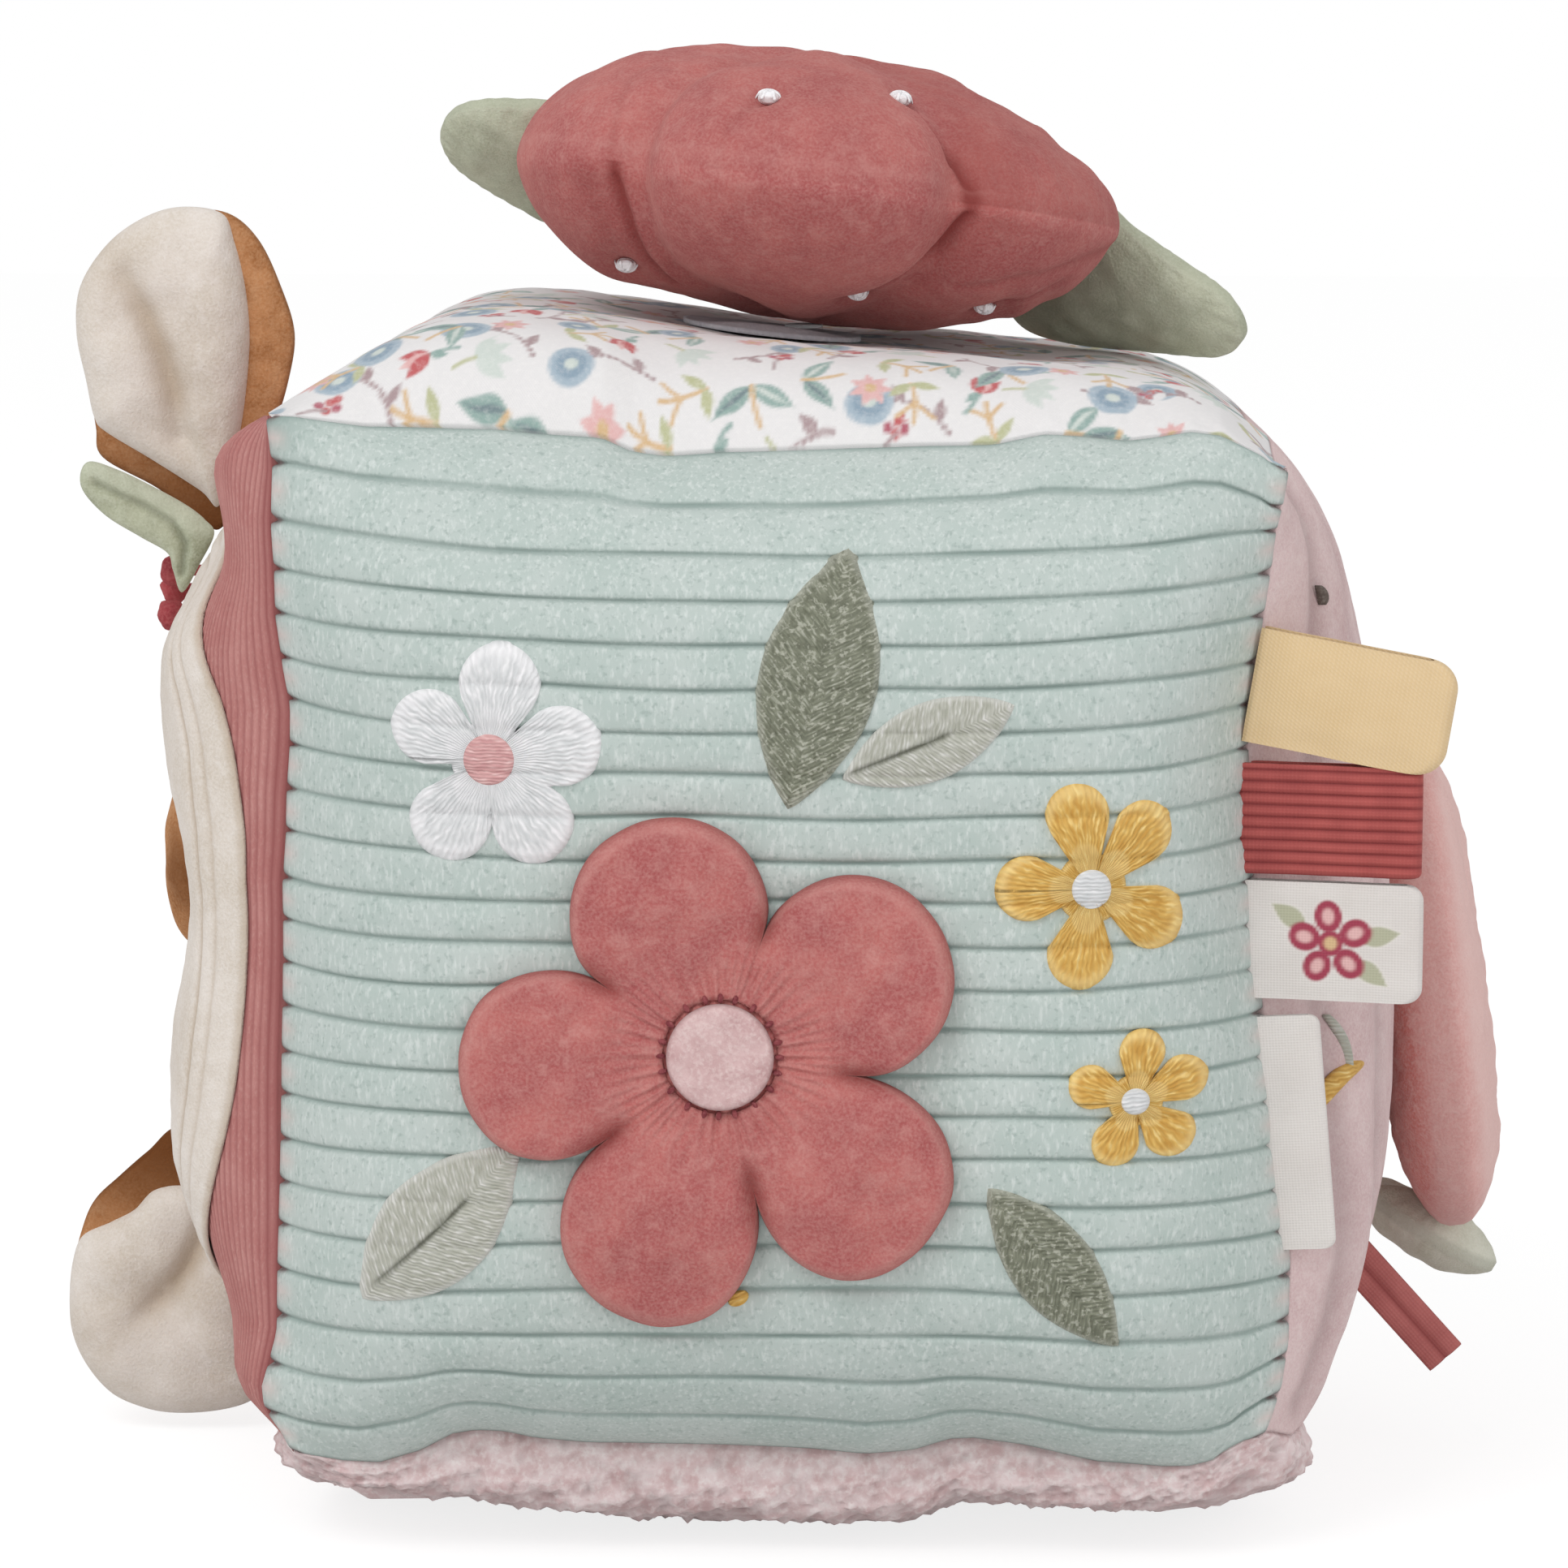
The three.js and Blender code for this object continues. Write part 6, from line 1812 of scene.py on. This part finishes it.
for ear in EARS:
    along = in_xz(ear["way"])
    root = np.array(ear["root"])
    place = hinged(root, along, -Y)
    scale = np.array([ear["length"], ear["width"]])
    back, lining, crease = (np.array(ear[f"{k}_shares"]) * scale for k in ("back", "lining", "crease"))
    middle = np.array([ear["length"] * ear["middle_share"], 0.0])
    between = sewn_at(ear["name"], root, along, 3, 4)
    mesh = pad(smooth_loop(back, 8), middle, rings(26, 0.5), ear_back_heights, place)
    root_shade = 0.95 * smooth(20, -2, mesh.x) + 0.25 * bell(mesh.share - 1, 0.02)
    piece(f"{ear['name']}_camel", mesh, "camel", between=between, replaces=[f"{ear['name']}_back"],
          marks={"shade": np.clip(root_shade, 0, 1)}, fill=EAR_FILL)

    mesh = pad(smooth_loop(lining, 9), middle, rings(44), ear_lining_heights(crease), place)
    gap, along_share = line_gap(mesh.x, mesh.y, crease)
    fold = bell(gap, 2.0) * smooth(0.05, 0.45, along_share) * smooth(1.0, 0.8, along_share)
    piece(f"{ear['name']}_cream", mesh, "cream", between=between, replaces=[f"{ear['name']}_lining"],
          marks={"shade": np.clip(0.42 * fold + 0.16 * bell(gap, 6), 0, 1)}, fill=EAR_FILL)

# Leaf and berries by the upper ear
LEAF_CORNERS = [
    (-16.6, 11.4), (-17.6, 7.6), (-14.0, 3.2), (-8.4, -0.3), (-4.2, -2.8), (-3.3, -5.6), (-1.9, -9.0),
    (1.0, -4.3), (3.2, 0.2), (1.8, 2.4), (-0.8, 4.5), (-5.2, 7.0), (-11.8, 10.2),
]
LEAF_FOLD = [(-15.2, 8.2), (-7.4, 4.6), (-3.0, 2.0), (-1.2, -1.2), (-1.8, -6.0)]
LEAF_MIDDLE = (-2.6, 0.6)
LEAF_LOW, LEAF_EDGE, LEAF_RISE = 0.8, 0.4, 1.7
LEAF_WRINKLE = (136, 5.0, 0.2)
LEAF_FORWARD = 2.2
leaf_way = in_xz(165)
leaf_root = np.array([-94.0, -12.0, 54.5])


def folded_leaf_heights(share, x, y):
    gap, _ = line_gap(x, y, LEAF_FOLD)
    dent = 0.9 * bell(gap, 0.7)
    soft = ripples([LEAF_WRINKLE], x, y) * fullness(share, 5)
    full = fullness(share, 4, 0.6)
    return -LEAF_LOW * full, LEAF_EDGE + LEAF_RISE * full - dent * fullness(share, 8) + soft


mesh = pad(smooth_loop(LEAF_CORNERS, 10), LEAF_MIDDLE, rings(24, 0.7), folded_leaf_heights,
           hinged(leaf_root - LEAF_FORWARD * Y, X, -Y))
fold_gap, _ = line_gap(mesh.x, mesh.y, LEAF_FOLD)
piece("small_ear_leaf", mesh, "sage", replaces=["ear_leaf"], fill=0.4,
      between=sewn_at("ear_leaf", leaf_root, leaf_way, 1.5, 2),
      marks={"shade": 0.5 * bell(fold_gap, 0.45),
             "shine": 0.35 * smooth(0.0, 2.0, mesh.y + 0.55 * mesh.x + 0.6)})

BERRIES = [(-98.8, -2.0, 47.6), (-99.2, -3.0, 40.6), (-99.2, 2.0, 44.2)]
BERRY_RADIUS = 2.3
BERRY_LUMPS = 0.12
STALK_LENGTH, STALK_RADIUS = 6.5, 0.9
for i, berry in enumerate(BERRIES):
    stalk = STALK_RADIUS * np.insert(ellipse(1.0, 1.0, 8), 0, 0.0, axis=1)
    stalk = stalk + np.linspace(0, STALK_LENGTH, 8)[:, None, None] * X + np.array(berry)
    mesh = joined([ball(np.array(berry), BERRY_RADIUS, 22, 14, BERRY_LUMPS, i), tube(stalk)])
    piece(f"knotted_berry_{i + 1}", mesh, "berry", replaces=[f"berry_{i + 1}"], fill=0.8)

# Plush bud, leaf and tape on the right side
BUD_LENGTH, BUD_WIDTH, BUD_ROOT_WIDTH = 76.0, 46.0, 10.0
BUD_RIM, BUD_RISE = 1.5, 15.5
BUD_WRINKLES = [(141, 16.0, 0.4), (142, 5.0, 0.2)]
SEWN_IN = 3.0  # how far the roots of the bud and the side leaf reach into the seam
bud_way, bud_out = in_xz(-83), in_xz(7)
bud_root = np.array([96.6, 2.0, 18.0])


def bud_heights(share, x, y):
    half = (BUD_RIM + BUD_RISE * fullness(share, 4, 0.6)) / 2
    ridge = 0.9 * bell(y - 6 + 0.08 * x, 4.0) - 0.9 * bell(y + 5 - 0.12 * x, 3.0)
    soft = ripples(BUD_WRINKLES, x, y) * fullness(share, 6)
    welt = 0.4 * bell(share - 1, 0.03)
    return -half - soft - welt, half + soft + welt + ridge * fullness(share, 4)


plush_bud = pad(drop(BUD_LENGTH, BUD_WIDTH, BUD_ROOT_WIDTH, 0.55, 40, SEWN_IN), (42.9, 0), rings(34, 0.55),
                bud_heights, hinged(bud_root, bud_way, bud_out))
outer = np.arange(len(plush_bud.share)) < len(plush_bud.share) // 2
# The outer skin is painted lighter, most in its middle, and the inner skin towards its rim: a painted
# highlight over the bud's own dusty pink.
outer_shine = np.where(outer, 0.4 + 0.4 * smooth(1.0, 0.85, plush_bud.share),
                0.4 * smooth(0.88, 1.0, plush_bud.share))
piece("plush_bud_velour", plush_bud, "bud", replaces=["side_bud"], fill=0.7,
      between=sewn_at("side_bud", bud_root, bud_way, 2, 4),
      marks={"shade": 0.35 * bell(plush_bud.share - 1, 0.02), "shine": outer_shine})

SIDE_LENGTH, SIDE_WIDTH, SIDE_ROOT_WIDTH = 23.0, 17.0, 8.0
SIDE_RIM, SIDE_THICK = 1.0, 10.5
SIDE_FOLD, SIDE_SEED = 0.7, 5
side_way, side_out = in_xz(-30), in_xz(60)
side_root = np.array([93.0, 11.5, -55.0])
mesh = pad(drop(SIDE_LENGTH, SIDE_WIDTH, SIDE_ROOT_WIDTH, 0.5, 20, SEWN_IN), (SIDE_LENGTH / 2, 0),
           rings(18, 0.5), pillow_heights(SIDE_RIM, SIDE_THICK, 2.2, 0.8, SIDE_FOLD, SIDE_SEED, SIDE_LENGTH),
           hinged(side_root, side_way, side_out))
# Its velour is painted lighter, in place of the light the bud keeps off.
piece("side_leaf_velour", mesh, "sage_painted_lighter", replaces=["side_leaf"], fill=0.6,
      between=sewn_at("side_leaf", side_root, side_way, 2, 3),
      marks={"shade": 0.3 * bell(mesh.share - 1, 0.03)})

TAPE_START, TAPE_END, TAPE_HALF_WIDTH = -4, 21, 3.3
TAPE_HALF_THICKNESS, TAPE_CROWN, TAPE_FOLD = 0.4, 0.5, 0.45
TAPE_ROUND = 3.35
tape_way = in_xz(-48)
tape_root = np.array([90.0, -6.0, -62.0])
t, w = np.meshgrid(np.linspace(TAPE_START, TAPE_END, 40), np.linspace(-TAPE_HALF_WIDTH, TAPE_HALF_WIDTH, 13))
crown = TAPE_CROWN * np.sqrt(np.clip(1 - (w / TAPE_ROUND) ** 2, 0, 1))
half = TAPE_HALF_THICKNESS + crown - TAPE_FOLD * bell(w, 0.7)
place = hinged(tape_root, tape_way, -Y)
tape = closed_sheet(place(t, w, half), place(t, w, -half))
# The groove mark paints shade along the fold down the middle of the tape.
piece("side_tape_ribbon", tape, "tape", replaces=["side_tape"], fill=0.5,
      between=sewn_at("side_tape", tape_root, tape_way, 1.5, 2.5),
      threads=np.tile(np.stack([t.ravel(), w.ravel()], -1), (2, 1)),
      marks={"groove": np.tile(0.8 * bell(w, 0.5).ravel(), 2)})

# Embroidered stem and stitches on the right side. Each line runs between two places, with a bow.
GOLDEN_LINE = ((-67, -26), (-55, -20.5), 0.12)
PALE_LINES = [((-68.5, -13), (-68, -24), -0.04), ((-62, -12), (-59, -22), 0.1)]
GREY_STITCHES = [((-58.6, 52.2), (-57.2, 49.2), 0.05, 8), ((-57.5, -52.5), (-56.2, -55.3), 0.05, 8)]
THREAD_UNDER = 0.6  # how far a line of thread reaches under the fabric


def curve_points(start, end, bow, count=24):
    s = np.linspace(0, 1, count)[:, None]
    start, end = np.array(start, float), np.array(end, float)
    side = np.array([-(end - start)[1], (end - start)[0]])
    return start + (end - start) * s + side * bow * np.sin(math.pi * s)


def stitched_line(line, width, lift):
    """A raised line of thread on the right side."""
    spots = curve_points(*line)
    way = np.gradient(spots, axis=0)
    way /= np.linalg.norm(way, axis=1)[:, None]
    side = np.stack([-way[:, 1], way[:, 0]], -1)
    across = np.linspace(-1, 1, 7)
    taper = np.sin(math.pi * np.linspace(0.04, 0.96, len(spots))) ** 0.35
    flat = spots[:, None] + across[None, :, None] * side[:, None] * (width / 2 * taper)[:, None, None]
    high = lift * np.sqrt(1 - 0.94 * across ** 2)[None] * taper[:, None]
    top = on_face("right", flat[..., 0], flat[..., 1], high)
    low = on_face("right", flat[..., 0], flat[..., 1], -THREAD_UNDER)
    points, faces = closed_sheet(top, low)
    return points, flipped(faces)


golden = stitched_line(GOLDEN_LINE, 2.3, 1.3)
piece("golden_stem", golden, "ochre", threads=golden[0][:, 1:])
pale = joined([stitched_line(line, 0.7, 1.1) for line in PALE_LINES])
piece("pale_stitch_lines", pale, "stone", threads=pale[0][:, 1:])
grey = joined([stitched_line(line, 0.45, 1.2) for line in GREY_STITCHES])
piece("grey_stitches", grey, "grey")

# Floor
FLOOR_HALF = 3.0
FLOOR_LIT, FLOOR_SHADOWED, FLOOR_WHITE = 0.8, 0.3, 0.8


def seen_apart(tree, lit, seen, output):
    """What lights the block goes through lit, and what the camera sees through seen."""
    path = tree.nodes.new("ShaderNodeLightPath")
    choose = tree.nodes.new("ShaderNodeMixShader")
    out = tree.nodes.new(output)
    tree.links.new(path.outputs["Is Camera Ray"], choose.inputs[0])
    tree.links.new(lit.outputs[0], choose.inputs[1])
    tree.links.new(seen.outputs[0], choose.inputs[2])
    tree.links.new(choose.outputs[0], out.inputs[0])


def grey_diffuse(tree, grey):
    node = tree.nodes.new("ShaderNodeBsdfDiffuse")
    node.inputs["Color"].default_value = (grey, grey, grey, 1)
    return node


floor_material = bpy.data.materials.new("pale floor")
floor_material.use_nodes = True
tree = floor_material.node_tree
tree.nodes.clear()
lit = grey_diffuse(tree, FLOOR_LIT)
shadowed = grey_diffuse(tree, FLOOR_SHADOWED)
white = tree.nodes.new("ShaderNodeEmission")
white.inputs["Strength"].default_value = FLOOR_WHITE
seen = tree.nodes.new("ShaderNodeAddShader")
tree.links.new(shadowed.outputs[0], seen.inputs[0])
tree.links.new(white.outputs[0], seen.inputs[1])
seen_apart(tree, lit, seen, "ShaderNodeOutputMaterial")
corners = [(FLOOR_HALF * x, FLOOR_HALF * y, 0) for x, y in ((-1, -1), (1, -1), (1, 1), (-1, 1))]
floor_data = bpy.data.meshes.new("floor")
floor_data.from_pydata(corners, [], [(0, 1, 2, 3)])
floor_data.materials.append(floor_material)
floor = bpy.data.objects.new("floor", floor_data)
bpy.context.scene.collection.objects.link(floor)

# Light: an even white world and three large soft lamps, at a level where a colour renders about as written
WORLD_LIT, WORLD_SEEN = 0.62, 1.0
# Each lamp: its name, its place in metres, its power and its size in metres
LAMPS = [
    ("key", (-0.7, -1.1, 1.4), 12.0, 0.9),
    ("low", (0.15, -1.5, 0.08), 3.8, 1.1),
    ("fill", (1.3, -0.7, 0.6), 2.8, 1.0),
]
world = bpy.context.scene.world or bpy.data.worlds.new("studio")
bpy.context.scene.world = world
world.use_nodes = True
tree = world.node_tree
tree.nodes.clear()
backgrounds = []
for strength in (WORLD_LIT, WORLD_SEEN):
    background = tree.nodes.new("ShaderNodeBackground")
    background.inputs["Strength"].default_value = strength
    background.inputs["Color"].default_value = (1, 1, 1, 1)
    backgrounds.append(background)
seen_apart(tree, *backgrounds, "ShaderNodeOutputWorld")
MIDDLE = Vector((0, 0, CENTRE_Z * METRES))


def aimed(name, data, place, target):
    made = bpy.data.objects.new(name, data)
    made.location = place
    made.rotation_mode = "QUATERNION"
    made.rotation_quaternion = (target - made.location).to_track_quat("-Z", "Y")
    bpy.context.scene.collection.objects.link(made)
    return made


for name, place, power, size in LAMPS:
    data = bpy.data.lights.new(name, "AREA")
    data.energy = power
    data.size = size
    aimed(name, data, place, MIDDLE)

# Camera: 1 m from the middle of the block, 9 degrees up and 2 degrees round
DISTANCE = 1.0
TARGET = Vector((-0.002, 0.0, 0.107))
LENS = 143.8
SENSOR_WIDTH = 36.0
round_cos, round_sin = cos_sin(2)
up_cos, up_sin = cos_sin(9)
data = bpy.data.cameras.new("camera")
data.lens = LENS
data.sensor_width = SENSOR_WIDTH
back = Vector((round_sin * up_cos, -round_cos * up_cos, up_sin))
bpy.context.scene.camera = aimed("camera", data, MIDDLE + back * DISTANCE, TARGET)
bpy.context.scene.view_settings.view_transform = "Standard"
